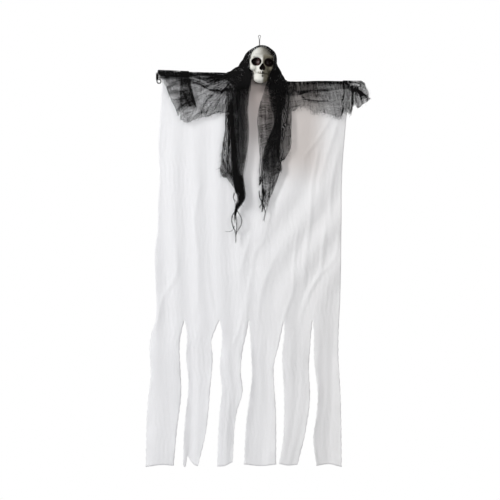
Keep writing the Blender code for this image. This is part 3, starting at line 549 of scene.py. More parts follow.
def crease_depth(x, z):
    """How far the drawn creases stand forward at each x and z."""
    depth = np.zeros_like(x)
    for height, width, line in CREASES:
        line = np.array(line)
        rows = [(-place[1], place[0]) for place in line]
        middle = through(rows, -z)[:, 0]
        ends = smooth_step(-z, -line[0, 1] - 0.045, -line[0, 1] + 0.035)
        ends *= 1 - smooth_step(-z, -line[-1, 1] - 0.035, -line[-1, 1] + 0.055)
        away = (x - middle) / width
        depth += height * ends * np.exp(-away * away) * (1 + 0.6 * np.tanh(1.5 * away))
    return depth


def creep(x, z):
    """Small uneven wrinkles, longer than they are wide."""
    made = np.zeros_like(x)
    for pitch, reach, phase, height in WRINKLES:
        drift = np.sin(2 * math.pi * z / reach + phase)
        drift += 0.6 * np.sin(2 * math.pi * z / (0.41 * reach) + x / 0.05)
        patch = 0.5 + 0.5 * np.sin(x / 0.037 + z / 0.062 + 2 * phase)
        made += height * patch * np.sin(2 * math.pi * x / pitch + 1.9 * drift)
    return made


def robe_fold(x, z, down):
    """How far the cloth stands forward of its plane: slanted folds drawn from the right arm
    down to the left, soft upright ones at the left, creases and small wrinkles."""
    drawn = smooth_step(x, -0.12, 0.12)
    sweep = SLANTED_SWEEP * smooth_step(down, 0.20, 0.62)
    grown = smooth_step(down, 0.02, 0.30)
    slanted = np.sin(2 * math.pi * (x + sweep) / SLANTED_PITCH + 0.8 * np.sin(7 * down))
    upright = np.sin(2 * math.pi * x / UPRIGHT_PITCH + 0.7 * np.sin(6 * down))
    fold = grown * (SLANTED_FOLD * drawn * slanted + UPRIGHT_FOLD * (1 - drawn) * upright)
    return fold + grown * creep(x, z) + crease_depth(x, z)


def strip_fold(strip, across, down):
    """Extra depth of one strip: its edges curl, creases run down it and it swings a little."""
    below = np.clip((down - slit_top) / (1 - slit_top), 0.0, 1.0)
    curl = (1 if strip % 2 else -1) * ((2 * across - 1) ** 2 - 0.35)
    swing = np.sin(2.6 * below * math.pi + 1.9 * strip)
    lines = 2 * math.pi * (1.6 + 0.2 * strip) * across + 1.3 * strip
    pleats = np.sin(lines + 2.2 * np.sin(3 * below + strip))
    edge = np.abs(2 * across - 1) ** 8 * np.sin(31 * below + 2.1 * strip)
    grown = smooth_step(below, 0.0, 0.25)
    curled = STRIP_CURL * (0.5 * curl + 0.5 * swing)
    return grown * (curled + STRIP_PLEAT * pleats + STRIP_FLUTTER * edge)


def cloth_grid(mesh_tools, points, flat):
    """A grid of faces through the points. Each vert keeps its place on the flat cloth."""
    rows, columns = points.shape[:2]
    layers = mesh_tools.verts.layers.float_vector
    layer = layers.get("flat") or layers.new("flat")
    made = bmesh.ops.create_grid(mesh_tools, x_segments=columns - 1, y_segments=rows - 1, size=0.5)["verts"]
    for vert in made:
        column = round((vert.co.x + 0.5) * (columns - 1))
        row = round((vert.co.y + 0.5) * (rows - 1))
        vert.co = points[row, column]
        vert[layer] = (*flat[row, column], 0.0)


def lay_out(mesh_tools):
    """Copies each vert's place on the flat cloth to the face corners, as UV."""
    layer = mesh_tools.loops.layers.uv.new("cloth")
    flat = mesh_tools.verts.layers.float_vector["flat"]
    for face in mesh_tools.faces:
        for loop in face.loops:
            loop[layer].uv = loop.vert[flat].xy


def robe_strip(strip):
    """Places of one strip's points, from the back hem over the wire to the bottom."""
    across = np.linspace(0, 1, STRIP_COLUMNS)
    top_left, top_right = (edge[strip, 0] for edge in robe_lips(np.zeros(1)))
    top_x = top_left + across * (top_right - top_left)
    height = wire_height(top_x)
    rows = []
    lengths = []
    for share in (0.0, 0.5):
        z = height - CASING_HEM * (1 - share)
        rows.append(np.column_stack([top_x, np.full_like(top_x, CASING_RADIUS), z]))
        lengths.append(-CASING_HEM * (1 - share))
    for step in range(CASING_ROWS + 1):
        angle = math.pi * step / CASING_ROWS
        y = np.full_like(top_x, CASING_RADIUS * math.cos(angle))
        rows.append(np.column_stack([top_x, y, height + CASING_RADIUS * math.sin(angle)]))
        lengths.append(CASING_RADIUS * angle)
    for row in range(1, UPPER_ROWS + 1):
        share = (row / UPPER_ROWS) ** 1.15
        down = share * slit_top
        left, right = (edge[strip, 0] for edge in robe_lips(np.array([down])))
        x = left + across * (right - left)
        z = height + share * (NECK - slit_top * ROBE_LENGTH - height)
        rows.append(np.column_stack([x, -CASING_RADIUS - robe_fold(x, z, down), z]))
        lengths.append(down * ROBE_LENGTH + 0.01)
    hem = through(HEMS[strip], across)[:, 0]
    for row in range(1, LOWER_ROWS + 1):
        share = row / LOWER_ROWS
        down = slit_top + share * (1 - slit_top)
        left, right = (edge[strip, 0] for edge in robe_lips(np.array([down])))
        x = left + across * (right - left)
        ragged = 0.0006 * np.sin(310 * down + 2.3 * strip) + 0.0004 * np.sin(811 * down)
        x = x + ragged * (2 * across - 1) ** 9
        z = NECK - down * ROBE_LENGTH + share ** 6 * hem
        fold = robe_fold(x, z, down) + strip_fold(strip, across, down)
        rows.append(np.column_stack([x, -CASING_RADIUS - fold, z]))
        lengths.append(down * ROBE_LENGTH + 0.01)
    points = np.array(rows)
    flat = np.empty((*points.shape[:2], 2))
    flat[..., 0] = top_x
    flat[..., 1] = np.array(lengths)[:, None]
    return points, flat


def robe_polyester():
    paint = Paint("white_polyester", Roughness=0.72, Sheen_Weight=0.15, Sheen_Roughness=0.4)
    place = paint.place()
    cloth = paint.along_cloth()
    x, _, z = paint.parts(place)
    dull = paint.clouds(paint.stretched(place, (14.0, 14.0, 3.0)), 1.0, detail=4.0)
    tone = paint.blend(dull, ROBE_WHITE, ROBE_DULL)
    # Painted shade: the robe darker and a little warmer towards its right, away from the key light
    right_shade = x.eased(-0.16, 0.24) * 0.75
    tone = paint.blend(right_shade, tone, ROBE_RIGHT_SHADE)
    by_tail = (x - 0.110).size().eased(0.100, 0.020) * z.eased(-0.440, -0.330)
    tone = paint.darken(by_tail, tone, TAIL_SHADE)
    beside = (x - 0.002).size().eased(0.018, 0.075)
    under_chin = (1 - beside) * z.eased(-0.46, -0.15)
    tone = paint.darken(under_chin * 0.9, tone, CHIN_SHADE)
    paint.feed("Base Color", tone)
    weft, warp, _ = paint.parts(paint.stretched(cloth, (THREADS_PER_METRE, THREADS_PER_METRE, 1.0)))
    weave = (weft * math.pi).sine() * (warp * math.pi).sine()
    crumple = paint.clouds(paint.stretched(place, (90.0, 90.0, 22.0)), 1.0, detail=5.0)
    finer = paint.relief(weave, 0.00006)
    paint.feed("Normal", paint.relief(crumple, 0.0009, finer))
    paint.mix_in("BsdfTranslucent", ROBE_BEHIND, TRANSLUCENCE)
    return paint


def thicken(piece, thickness, offset):
    """A wall on both sides of the mesh at offset 0, and inside it at -1."""
    solid = piece.modifiers.new("Wall", "SOLIDIFY")
    solid.thickness = thickness
    solid.offset = offset


def cut_away(mesh_tools, chosen):
    """Deletes the faces whose middles, given as x, y and z, are chosen."""
    gone = [face for face in mesh_tools.faces if chosen(*face.calc_center_median())]
    bmesh.ops.delete(mesh_tools, geom=gone, context="FACES")


def at_notch(x, y, z):
    """Where the casing is cut away at the neck, lower behind than in front."""
    behind = y > 0 and z > NECK - 2 * CASING_HEM
    return abs(x) < NOTCH_WIDTH / 2 and (behind or z > wire_height(x)[0] - NOTCH_DEPTH)


def robe():
    mesh_tools = bmesh.new()
    for strip in range(len(HEMS)):
        cloth_grid(mesh_tools, *robe_strip(strip))
    bmesh.ops.remove_doubles(mesh_tools, verts=mesh_tools.verts[:], dist=0.00002)
    cut_away(mesh_tools, at_notch)
    lay_out(mesh_tools)
    sheet = finished(mesh_tools, "robe_sheet", robe_polyester())
    thicken(sheet, ROBE_CLOTH, 0)
    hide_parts("robe")


robe()


# Skull
# One hollow shell of ivory plastic, blow-moulded and about 1.6 mm thick. It is open at the
# neck, has a small hole in the crown for the cord, and has shade painted into its colour: in its recesses and
# down its right side.
SKULL_SIZE = np.array((0.071, 0.092, 0.106))
SKULL_WALL = 0.0016
SKULL_ROLL = math.radians(4)
SKULL_YAW = math.radians(5)
SKULL_CENTRE = np.array((0.0065, 0.0020, -0.0695))
CROWN_HOLE = 0.0064
NECK_OPENING = math.radians(56)
RAY_CENTRE = np.array((0.0040, 0.0060, -0.0710))
FACE_CROWDING = 0.45
BONE_BLEND = 0.006
HOLLOW_BLEND = 0.002
TOOTH_BLEND = 0.0012
IVORY = (0.690, 0.687, 0.645)
IVORY_DULL = (0.630, 0.630, 0.575)
RECESS_SHADE = (0.110, 0.095, 0.060)
SIDE_SHADE = (0.17, 0.155, 0.115)
PIT_BLACK = (0.006, 0.004, 0.004)
PIT_RED = (0.052, 0.026, 0.026)
# Middles and radii as shares of the width, depth and height, with z up from the cranium
CRANIUM = ((0.0, 0.065, 0.0), (0.495, 0.457, 0.358))
BONES = (
    ((0.0, -0.12, -0.06), (0.39, 0.3, 0.26)),
    ((0.0, -0.26, -0.26), (0.25, 0.19, 0.15)),
    ((0.0, -0.275, -0.345), (0.24, 0.2, 0.07)),
    ((-0.02, -0.275, -0.455), (0.285, 0.185, 0.085)),
    ((-0.03, -0.29, -0.548), (0.26, 0.172, 0.098)),
    ((0.0, -0.21, -0.34), (0.27, 0.15, 0.14)),
)
PAIRED_BONES = (
    ((0.345, -0.25, -0.25), (0.14, 0.13, 0.095)),
    ((0.425, -0.13, -0.13), (0.07, 0.18, 0.115)),
    ((0.2, -0.345, 0.05), (0.2, 0.085, 0.05)),
    ((0.275, -0.16, -0.42), (0.07, 0.11, 0.16)),
)
NASAL_BONE = ((0.0, -0.40, -0.080), (0.058, 0.090, 0.100))
TEETH = (
    ((0.036, -0.455, -0.372), (0.036, 0.04, 0.04)),
    ((0.105, -0.437, -0.37), (0.034, 0.04, 0.038)),
    ((0.165, -0.395, -0.366), (0.03, 0.044, 0.036)),
    ((0.205, -0.335, -0.362), (0.026, 0.044, 0.032)),
    ((0.033, -0.445, -0.45), (0.032, 0.036, 0.034)),
    ((0.095, -0.428, -0.45), (0.031, 0.036, 0.034)),
    ((0.153, -0.388, -0.448), (0.029, 0.04, 0.034)),
    ((0.2, -0.332, -0.444), (0.026, 0.042, 0.031)),
)
EYE_SOCKET = ((0.262, -0.42, -0.108), (0.198, 0.175, 0.106))
SOCKET_CORNERS = (
    ((0.21, -0.42, -0.08), (0.13, 0.16, 0.075)),
    ((0.335, -0.36, -0.082), (0.115, 0.17, 0.076)),
)
HOLLOWS = (
    ((0.6, -0.13, 0.05), (0.13, 0.16, 0.13)),
    ((0.43, -0.32, -0.405), (0.15, 0.15, 0.085)),
)
NOSE_HOLLOWS = (
    ((0.0, -0.46, -0.264), (0.118, 0.11, 0.062)),
    ((0.0, -0.46, -0.222), (0.074, 0.095, 0.066)),
)
NOSE_SPINE = ((0.008, -0.455, -0.316), (0.024, 0.050, 0.030))
MOUTH_LINE = ((0.0, -0.490, -0.418), (0.120, 0.030, 0.006))
# Painted shade in a groove under the left cheekbone, and a gap in the upper and the lower teeth
DARK_MARKS = (
    ((-0.17, -0.455, -0.25), (0.03, 0.05, 0.014)),
    ((0.017, -0.5, -0.392), (0.02, 0.085, 0.03)),
    ((0.02, -0.49, -0.478), (0.016, 0.065, 0.016)),
)


def skull_axes():
    """Columns are the skull's right, back and up."""
    turn = np.array((
        (math.cos(SKULL_YAW), -math.sin(SKULL_YAW), 0.0),
        (math.sin(SKULL_YAW), math.cos(SKULL_YAW), 0.0),
        (0.0, 0.0, 1.0),
    ))
    lean = np.array((
        (math.cos(SKULL_ROLL), 0.0, math.sin(SKULL_ROLL)),
        (0.0, 1.0, 0.0),
        (-math.sin(SKULL_ROLL), 0.0, math.cos(SKULL_ROLL)),
    ))
    return lean @ turn


def ellipsoid(places, shape):
    centre, radii = (np.array(part) * SKULL_SIZE for part in shape)
    away = places - centre
    near = np.linalg.norm(away / radii, axis=1)
    return near * (near - 1) / np.maximum(np.linalg.norm(away / radii ** 2, axis=1), 1e-9)


def joined(first, second, blend):
    """The two distances as one shape, with a fillet of about blend where they meet."""
    share = np.clip(0.5 + 0.5 * (second - first) / blend, 0, 1)
    return second * (1 - share) + first * share - blend * share * (1 - share)


def skull_places(points):
    """Points in the skull's own axes, then the same with both sides folded onto one."""
    places = (points - SKULL_CENTRE) @ skull_axes()
    sides = places.copy()
    sides[:, 0] = np.abs(sides[:, 0])
    return places, sides


def pit_distance(places, sides):
    """About how far points lie outside the eye sockets, the nose hole and the dark marks."""
    pit = ellipsoid(sides, EYE_SOCKET)
    for corner in SOCKET_CORNERS:
        pit = joined(pit, ellipsoid(sides, corner), HOLLOW_BLEND)
    for hollow in NOSE_HOLLOWS:
        pit = joined(pit, ellipsoid(places, hollow), HOLLOW_BLEND)
    for mark in DARK_MARKS:
        pit = joined(pit, ellipsoid(places, mark), TOOTH_BLEND)
    return -joined(-pit, ellipsoid(places, NOSE_SPINE), TOOTH_BLEND)


def skull_distance(points):
    """About how far points lie outside the skull's outer face, in metres."""
    places, sides = skull_places(points)
    solid = ellipsoid(places, CRANIUM)
    for bone in BONES:
        solid = joined(solid, ellipsoid(places, bone), BONE_BLEND)
    for bone in PAIRED_BONES:
        solid = joined(solid, ellipsoid(sides, bone), BONE_BLEND)
    solid = joined(solid, ellipsoid(places, NASAL_BONE), BONE_BLEND / 2)
    solid = -joined(-solid, ellipsoid(places, MOUTH_LINE), HOLLOW_BLEND)
    for tooth in TEETH:
        solid = joined(solid, ellipsoid(sides, tooth), TOOTH_BLEND)
    for hollow in HOLLOWS:
        solid = -joined(-solid, ellipsoid(sides, hollow), HOLLOW_BLEND)
    return -joined(-solid, pit_distance(places, sides), HOLLOW_BLEND)


def skull_slope(points, nudge=0.0003):
    """The way out of the skull at each point."""
    slope = np.stack([
        skull_distance(points + nudge * axis) - skull_distance(points - nudge * axis) for axis in np.eye(3)
    ], axis=1)
    return slope / np.maximum(np.linalg.norm(slope, axis=1), 1e-9)[:, None]


def height_over(x, y):
    """The height at x, y where the crown's outer face is."""
    point = np.array(((x, y, 0.05),))
    for _ in range(40):
        point[0, 2] -= skull_distance(point)[0]
    return float(point[0, 2])


def vert_places(mesh_tools):
    return np.array([vert.co[:] for vert in mesh_tools.verts])


def move_verts(mesh_tools, places):
    for vert, place in zip(mesh_tools.verts, places):
        vert.co = place


def skull_shell():
    """A fine sphere drawn onto the skull's shape and evened out there."""
    mesh_tools = bmesh.new()
    bmesh.ops.create_icosphere(mesh_tools, subdivisions=7, radius=1.0)
    rays = vert_places(mesh_tools) + FACE_CROWDING * np.array((0.1, -1.0, -0.1))
    rays /= np.linalg.norm(rays, axis=1)[:, None]
    places = RAY_CENTRE + 0.09 * rays
    for _ in range(36):
        places -= 0.85 * rays * skull_distance(places)[:, None]
    for _ in range(7):
        move_verts(mesh_tools, places)
        bmesh.ops.smooth_vert(
            mesh_tools, verts=mesh_tools.verts[:], factor=0.5,
            use_axis_x=True, use_axis_y=True, use_axis_z=True,
        )
        places = vert_places(mesh_tools)
        places -= skull_slope(places) * skull_distance(places)[:, None]
    move_verts(mesh_tools, places)
    return mesh_tools


def cut_openings(mesh_tools):
    """The hole for the cord in the crown, and the open neck."""
    crown = Vector((0.0, 0.0, height_over(0.0, 0.0)))
    middle = Vector(RAY_CENTRE)
    axis = (crown - middle).normalized()
    widest = math.pi - NECK_OPENING / 2
    gone = []
    for face in mesh_tools.faces:
        spot = face.calc_center_median()
        in_hole = spot.z > middle.z and math.hypot(spot.x, spot.y) < CROWN_HOLE / 2
        if in_hole or axis.angle(spot - middle) > widest:
            gone.append(face)
    bmesh.ops.delete(mesh_tools, geom=gone, context="FACES")
    for edge in mesh_tools.edges:
        if edge.is_boundary:
            for vert in edge.verts:
                if vert.co.z > middle.z:
                    scale = CROWN_HOLE / 2 / math.hypot(vert.co.x, vert.co.y)
                    vert.co.x *= scale
                    vert.co.y *= scale
                else:
                    away = vert.co - middle
                    level = (away - axis * away.dot(axis)).normalized()
                    vert.co = middle + (axis * math.cos(widest) + level * math.sin(widest)) * away.length


def keep_number(piece, name, values):
    piece.data.attributes.new(name, "FLOAT", "POINT").data.foreach_set("value", values)


def ivory_plastic():
    paint = Paint("ivory_plastic", Coat_Roughness=0.25, Specular_IOR_Level=0.32)
    paint.surface.inputs["Subsurface Weight"].default_value = 0.06
    paint.surface.inputs["Subsurface Radius"].default_value = (0.004, 0.003, 0.002)
    place = paint.place()
    hollow = paint.attribute("hollow")
    pit = paint.attribute("pit")
    red = paint.attribute("red")
    mottle = paint.clouds(place, 60.0, detail=5.0)
    grain = paint.clouds(place, 900.0, detail=4.0)
    bone = paint.blend(mottle.eased(0.42, 0.72) * 0.5, IVORY, IVORY_DULL)
    # Painted shade in the recesses: darker and browner the deeper a point lies in a hollow
    recess_shade = (hollow + 0.35 * (mottle - 0.5)).eased(0.22, 0.85)
    bone = paint.blend(recess_shade * 0.9, bone, RECESS_SHADE)
    across, _, up = paint.parts(place)
    brow = up.eased(-0.066, -0.056)
    wander = across + 0.006 * (mottle - 0.5)
    forehead = wander.eased(-0.0110, 0.0150) * brow * 0.80
    face = wander.eased(0.0045, 0.0120) * (1 - brow)
    bone = paint.darken(forehead + face, bone, SIDE_SHADE)
    paint.feed("Base Color", paint.blend(pit, bone, paint.blend(red, PIT_BLACK, PIT_RED)))
    paint.mix_in("BsdfDiffuse", PIT_BLACK, pit * (0.9 - 0.8 * red).most(0.0))
    paint.feed("Roughness", 0.42 + 0.20 * mottle - 0.20 * pit)
    paint.feed("Coat Weight", 0.10 - 0.10 * pit)
    paint.feed("Normal", paint.relief(grain + 0.8 * mottle, 0.0004))
    return paint


def skull():
    mesh_tools = skull_shell()
    cut_openings(mesh_tools)
    bmesh.ops.recalc_face_normals(mesh_tools, faces=mesh_tools.faces[:])
    places = vert_places(mesh_tools)
    shell = finished(mesh_tools, "skull_moulded", ivory_plastic())
    out = skull_slope(places)
    hollow = np.zeros(len(places))
    # How deep each vert lies in a recess, for the painted shade there
    for reach, share in ((0.0022, 0.75), (0.0080, 0.60)):
        hollow += share * np.clip(1 - skull_distance(places + out * reach) / reach, 0, 1)
    own, sides = skull_places(places)
    pit = 1 - smooth_step(pit_distance(own, sides), 0.0001, 0.0010)
    nearer_nose = smooth_step(0.245 * SKULL_SIZE[0] - sides[:, 0], -0.002, 0.004)
    nearer_nose *= smooth_step(-own[:, 0], 0.008, 0.009) * (1 - smooth_step(sides[:, 0], 0.022, 0.026))
    browned = 0.30 * smooth_step(own[:, 0], 0.008, 0.009)
    keep_number(shell, "hollow", hollow)
    keep_number(shell, "pit", pit)
    keep_number(shell, "red", nearer_nose + browned)
    thicken(shell, SKULL_WALL, -1)
    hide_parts("skull")


skull()


# Gauze over the arms
# Two pieces of loosely woven black gauze, laid over the covered wire. The top edge is
# rolled over more than once, pleats hang in front, and the hems are torn and frayed.
THREAD_PITCH = 0.0017
THREAD_SHARE = 0.27
LAYER_STEP = 0.0010
SLEEVE_RADIUS = 0.0041
SLEEVE_STAND = 0.0062
SLEEVE_FLARE = 0.0030
SLEEVE_BACK_DROP = 0.062
BACK_ROWS = 13
ROLL_ROWS = 12
FRONT_ROWS = (14, 12, 22, 8, 40)
HEM_TEAR = 0.0030
FAR_FROM_HEM = 0.05
CRUMPLE_DEPTH = 0.0016
CRUMPLE_SIZE = 0.016
BINDING_TURNS = 11
BINDING_RADIUS = 0.0026
BINDING_HEIGHT = 0.018
BINDING_THREAD = 0.0009
THREAD_ROOT = 0.00026
THREAD_TIP = 0.00012
# Where the left sleeve is drawn up, and how far the right one's creases lean
KNOT_POINT = (-0.062, -0.112)
CREASE_SLANT = 0.32
# Small creases: how far the cloth is pushed, their pitch, their length and a place in the noise
CREASE_WAVES = ((0.0056, 0.0090, 0.065, 3.3), (0.0016, 0.0045, 0.030, 8.1))
GAUZE_BLACK = (0.0035, 0.0035, 0.0040)
GAUZE_GREY = (0.0105, 0.0100, 0.0098)
THREAD_GREY = (0.020, 0.019, 0.019)
# Where the cloth is bunched: how wide, how much denser or, below 0, looser, then (x, z) points
LEFT_SLEEVE_DARK = (
    (0.0022, 1.5, ((-0.2023, -0.1256), (-0.18, -0.1339), (-0.1548, -0.1437), (-0.1381, -0.1535),
                   (-0.1269, -0.1576))),
    (0.0016, 0.9, ((-0.19, -0.123), (-0.164, -0.133), (-0.145, -0.143), (-0.134, -0.153))),
    (0.0038, 1.8, ((-0.133, -0.157), (-0.12, -0.159), (-0.102, -0.157), (-0.088, -0.153))),
    (0.002, 1.2, ((-0.221, -0.115), (-0.219, -0.15), (-0.2215, -0.2), (-0.224, -0.214))),
    (0.0024, 1.8, ((-0.198, -0.125), (-0.1925, -0.155), (-0.186, -0.18), (-0.1775, -0.201))),
    (0.0022, 1.3, ((-0.212, -0.16), (-0.203, -0.18), (-0.19, -0.202))),
    (0.0018, 1.1, ((-0.283, -0.127), (-0.258, -0.153), (-0.233, -0.209), (-0.226, -0.228))),
    (0.0018, 0.9, ((-0.125, -0.162), (-0.145, -0.18), (-0.158, -0.204), (-0.162, -0.225))),
    (0.0018, 0.8, ((-0.115, -0.162), (-0.127, -0.183), (-0.142, -0.206), (-0.15, -0.225))),
    (0.0018, 0.8, ((-0.105, -0.162), (-0.113, -0.185), (-0.124, -0.208))),
    (0.0022, 1.2, ((-0.144, -0.228), (-0.135, -0.222), (-0.12, -0.216), (-0.098, -0.216))),
    (0.011, 0.7, ((-0.283, -0.118), (-0.25, -0.124), (-0.223, -0.126))),
    (0.026, 0.35, ((-0.25, -0.15), (-0.235, -0.18))),
    (0.006, 1.5, ((-0.2835, -0.105), (-0.27, -0.112))),
    (0.009, 1.2, ((-0.128, -0.115), (-0.088, -0.115))),
    (0.01, 0.5, ((-0.14, -0.135), (-0.09, -0.135))),
    (0.01, -0.25, ((-0.182, -0.142), (-0.17, -0.17), (-0.165, -0.2))),
)
RIGHT_SLEEVE_DARK = (
    (0.002, 1.5, ((0.1186, -0.1744), (0.1325, -0.1827), (0.16, -0.187), (0.191, -0.184))),
    (0.002, 1.5, ((0.087, -0.217), (0.102, -0.208), (0.116, -0.206), (0.134, -0.216),
                   (0.148, -0.226), (0.16, -0.227))),
    (0.0016, 1.0, ((0.09, -0.201), (0.11, -0.199), (0.13, -0.208))),
    (0.0014, 1.2, ((0.237, -0.142), (0.236, -0.16), (0.233, -0.19), (0.2285, -0.23))),
    (0.002, 1.6, ((0.259, -0.153), (0.2585, -0.18), (0.2575, -0.222))),
    (0.011, -0.35, ((0.11, -0.148), (0.15, -0.147), (0.235, -0.143))),
    (0.006, -0.2, ((0.19, -0.145), (0.205, -0.145))),
    (0.008, 0.45, ((0.125, -0.168), (0.17, -0.17), (0.22, -0.168))),
    (0.004, 0.8, ((0.115, -0.162), (0.15, -0.16), (0.19, -0.156))),
    (0.02, 0.3, ((0.256, -0.135), (0.256, -0.215))),
    (0.024, 0.15, ((0.29, -0.145), (0.29, -0.18))),
    (0.006, 1.8, ((0.26, -0.156), (0.268, -0.155), (0.275, -0.16), (0.283, -0.166))),
    (0.0022, 2.0, ((0.2386, -0.134), (0.258, -0.146), (0.272, -0.148), (0.283, -0.162),
                   (0.3, -0.174))),
    (0.0018, 1.2, ((0.26, -0.196), (0.27, -0.201), (0.274, -0.204), (0.289, -0.193),
                   (0.303, -0.179))),
)
# Runs of cloth across a sleeve between its folds: distance out from the neck at the top
# and at the hem, then the same where the run ends
LEFT_SLEEVE_RUNS = (
    ((0.06, 0.06), (0.2185, 0.2205), 92),
    ((0.2185, 0.2205), (0.1975, 0.1765), 22),
    ((0.1975, 0.1765), (0.2835, 0.2835), 56),
)
RIGHT_SLEEVE_RUNS = (
    ((0.05, 0.05), (0.2365, 0.23), 104),
    ((0.2365, 0.23), (0.233, 0.2265), 5),
    ((0.233, 0.2265), (0.304, 0.304), 50),
)
# Distance out from the neck, and the height of the front flap's hem over the neck
LEFT_SLEEVE_HEM = (
    (0.06, -0.098), (0.099, -0.098), (0.124, -0.101), (0.146, -0.11), (0.166, -0.108), (0.188, -0.118),
    (0.216, -0.119), (0.226, -0.111), (0.233, -0.088), (0.247, -0.06), (0.258, -0.032), (0.274, -0.01),
    (0.2835, -0.006),
)
LEFT_PLEAT_HEM = ((0.1765, -0.080), (0.2205, -0.094), (0.2265, -0.106), *LEFT_SLEEVE_HEM[8:])
RIGHT_SLEEVE_HEM = (
    (0.05, -0.094), (0.088, -0.096), (0.116, -0.083), (0.134, -0.09), (0.155, -0.101), (0.17, -0.101),
    (0.182, -0.103), (0.205, -0.11), (0.226, -0.113), (0.232, -0.104), (0.245, -0.1), (0.254, -0.104),
    (0.2575, -0.084), (0.263, -0.078), (0.273, -0.085), (0.293, -0.069), (0.301, -0.064), (0.304, -0.054),
)
# Distance out from the neck, then how far below the wire each horizontal fold lies: the
# roll's lower edge, its upper edge, and the lower and upper edge of the drawn-up fold
LEFT_SLEEVE_FOLDS = (
    (0.06, 0.01, 0.003, 0.046, 0.04), (0.085, 0.012, 0.003, 0.047, 0.04),
    (0.11, 0.019, 0.002, 0.048, 0.042), (0.138, 0.024, 0.002, 0.046, 0.043),
    (0.155, 0.02, 0.002, 0.04, 0.039), (0.175, 0.014, 0.002, 0.034, 0.0335),
    (0.195, 0.012, 0.002, 0.036, 0.0355), (0.23, 0.017, 0.001, 0.036, 0.0355),
    (0.26, 0.014, 0.001, 0.02, 0.0195), (0.2835, 0.006, 0.001, 0.008, 0.0075),
)
RIGHT_SLEEVE_FOLDS = (
    (0.05, 0.034, 0.002, 0.06, 0.0595), (0.1, 0.036, 0.002, 0.052, 0.0515),
    (0.118, 0.034, 0.002, 0.05, 0.0485), (0.135, 0.027, 0.002, 0.05, 0.0485),
    (0.165, 0.026, 0.002, 0.053, 0.052), (0.195, 0.025, 0.002, 0.055, 0.0545),
    (0.225, 0.02, 0.001, 0.05, 0.0495), (0.245, 0.018, 0.004, 0.046, 0.0455),
    (0.265, 0.024, 0.018, 0.044, 0.0435), (0.285, 0.026, 0.024, 0.044, 0.0435),
    (0.304, 0.026, 0.0255, 0.04, 0.0395),
)


def gauze_black(name, rumpled):
    """Loose black threads both ways, with gaps between them. The threads wander and vary in
    thickness, and near a torn hem the cross threads are gone. Where the cloth is rumpled
    they lie closer and wider apart by turns."""
    paint = Paint(name, Roughness=0.95, Specular_IOR_Level=0.02)
    cloth = paint.along_cloth()
    hem = paint.attribute("hem")
    across, along_it, _ = paint.parts(cloth)
    sway = paint.clouds(cloth, 55.0, detail=2.0)
    drift = paint.clouds(paint.stretched(cloth, (1.0, 1.3, 1.0)), 130.0, detail=2.0)
    warp_place = (across + (sway - 0.5) * 0.0060) / THREAD_PITCH
    weft_place = (along_it + (drift - 0.5) * 0.0050) / THREAD_PITCH
    crease = paint.node("Attribute", {"attribute_name": "crease"}, {}, "Vector")
    pushed = paint.clouds(paint.stretched(crease, (140.0, 16.0, 1.0)), 1.0, detail=2.0)
    folded = paint.clouds(paint.stretched(crease, (90.0, 11.0, 1.0)), 1.0, detail=1.0)
    folded = (1 - (folded - 0.5).size() * 13).most(0.0)
    warp_bunch = paint.clouds(paint.stretched(cloth, (270.0, 22.0, 1.0)), 1.0, detail=1.0)
    weft_bunch = paint.clouds(paint.stretched(cloth, (22.0, 270.0, 1.0)), 1.0, detail=1.0)
    bunches = 1.5 * (warp_bunch - 0.5) + 1.5 * (weft_bunch - 0.5)
    uneven = 0.84 + rumpled * (2.0 * (pushed - 0.5) + 0.65 * folded + bunches)
    selvage = (1 - hem * 380).most(0.0) * 0.9
    share = THREAD_SHARE * uneven.most(0.25) * (1 + paint.attribute("dense") + selvage)
    lost = paint.node("TexWhiteNoise", {"noise_dimensions": "1D"}, {"W": weft_place.whole()}, 0)
    loose = paint.node("TexWhiteNoise", {"noise_dimensions": "1D"}, {"W": warp_place.whole()}, 0)
    warp = (warp_place.fraction() - 0.30 - 0.40 * loose).size() * 2
    weft = (weft_place.fraction() - 0.30 - 0.40 * lost).size() * 2
    frayed = (hem * 60 + lost * 0.9).eased(0.50, 0.56)
    short = (hem - loose * 0.005).over(0.0)
    threads = (share - warp).over(0.0) * short
    threads = threads.most((share - weft).over(0.0) * frayed)
    tone = paint.clouds(cloth, 700.0)
    paint.feed("Base Color", paint.blend(tone, GAUZE_BLACK, GAUZE_GREY))
    paint.feed("Alpha", threads)
    paint.feed("Normal", paint.relief(1 - warp.least(weft), 0.0003))
    return paint


def runs_across(runs):
    """Columns of a pleated cloth: top place, hem place and layer, with rounded folds."""
    columns = []
    for number, (start, end, count) in enumerate(runs):
        for share in np.linspace(0, 1, count + 1):
            top, low = (first + share * (last - first) for first, last in zip(start, end))
            columns.append((top, low, float(number)))
        if number + 1 < len(runs):
            way = 1.0 if end[0] > start[0] else -1.0
            for turn in (0.25, 0.5, 0.75):
                bulge = way * LAYER_STEP / 2 * math.sin(math.pi * turn)
                layer = number + 0.5 - 0.5 * math.cos(math.pi * turn)
                columns.append((end[0] + bulge, end[1] + bulge, layer))
    return np.array(columns)


def crumple(places_x, places_z):
    """Uneven creases in the gauze, the same for every layer at a place."""
    made = np.zeros(len(places_x))
    for number, (x, z) in enumerate(zip(places_x / CRUMPLE_SIZE, places_z / CRUMPLE_SIZE)):
        made[number] = noise.noise(Vector((x / 0.6, z, 1.7)))
        made[number] += 0.5 * noise.noise(Vector((x / 0.28, z / 0.5, 4.9)))
    return made


def drawn_together(points, to_crease, pull):
    """Cloth pushed together sideways into small creases. to_crease gives, for x and z, the
    distance across the creases, the distance along them and the way across."""
    shape = points.shape
    flat = points.reshape(-1, 3)
    across, down, way_x, way_z = to_crease(flat[:, 0], flat[:, 2])
    for number in range(len(flat)):
        wave = 0.0
        for push, pitch, length, start in CREASE_WAVES:
            wave += push * noise.noise(Vector((across[number] / pitch, down[number] / length, start)))
        flat[number, 0] += way_x[number] * wave * pull[number]
        flat[number, 2] += way_z[number] * wave * pull[number]
    return flat.reshape(shape)


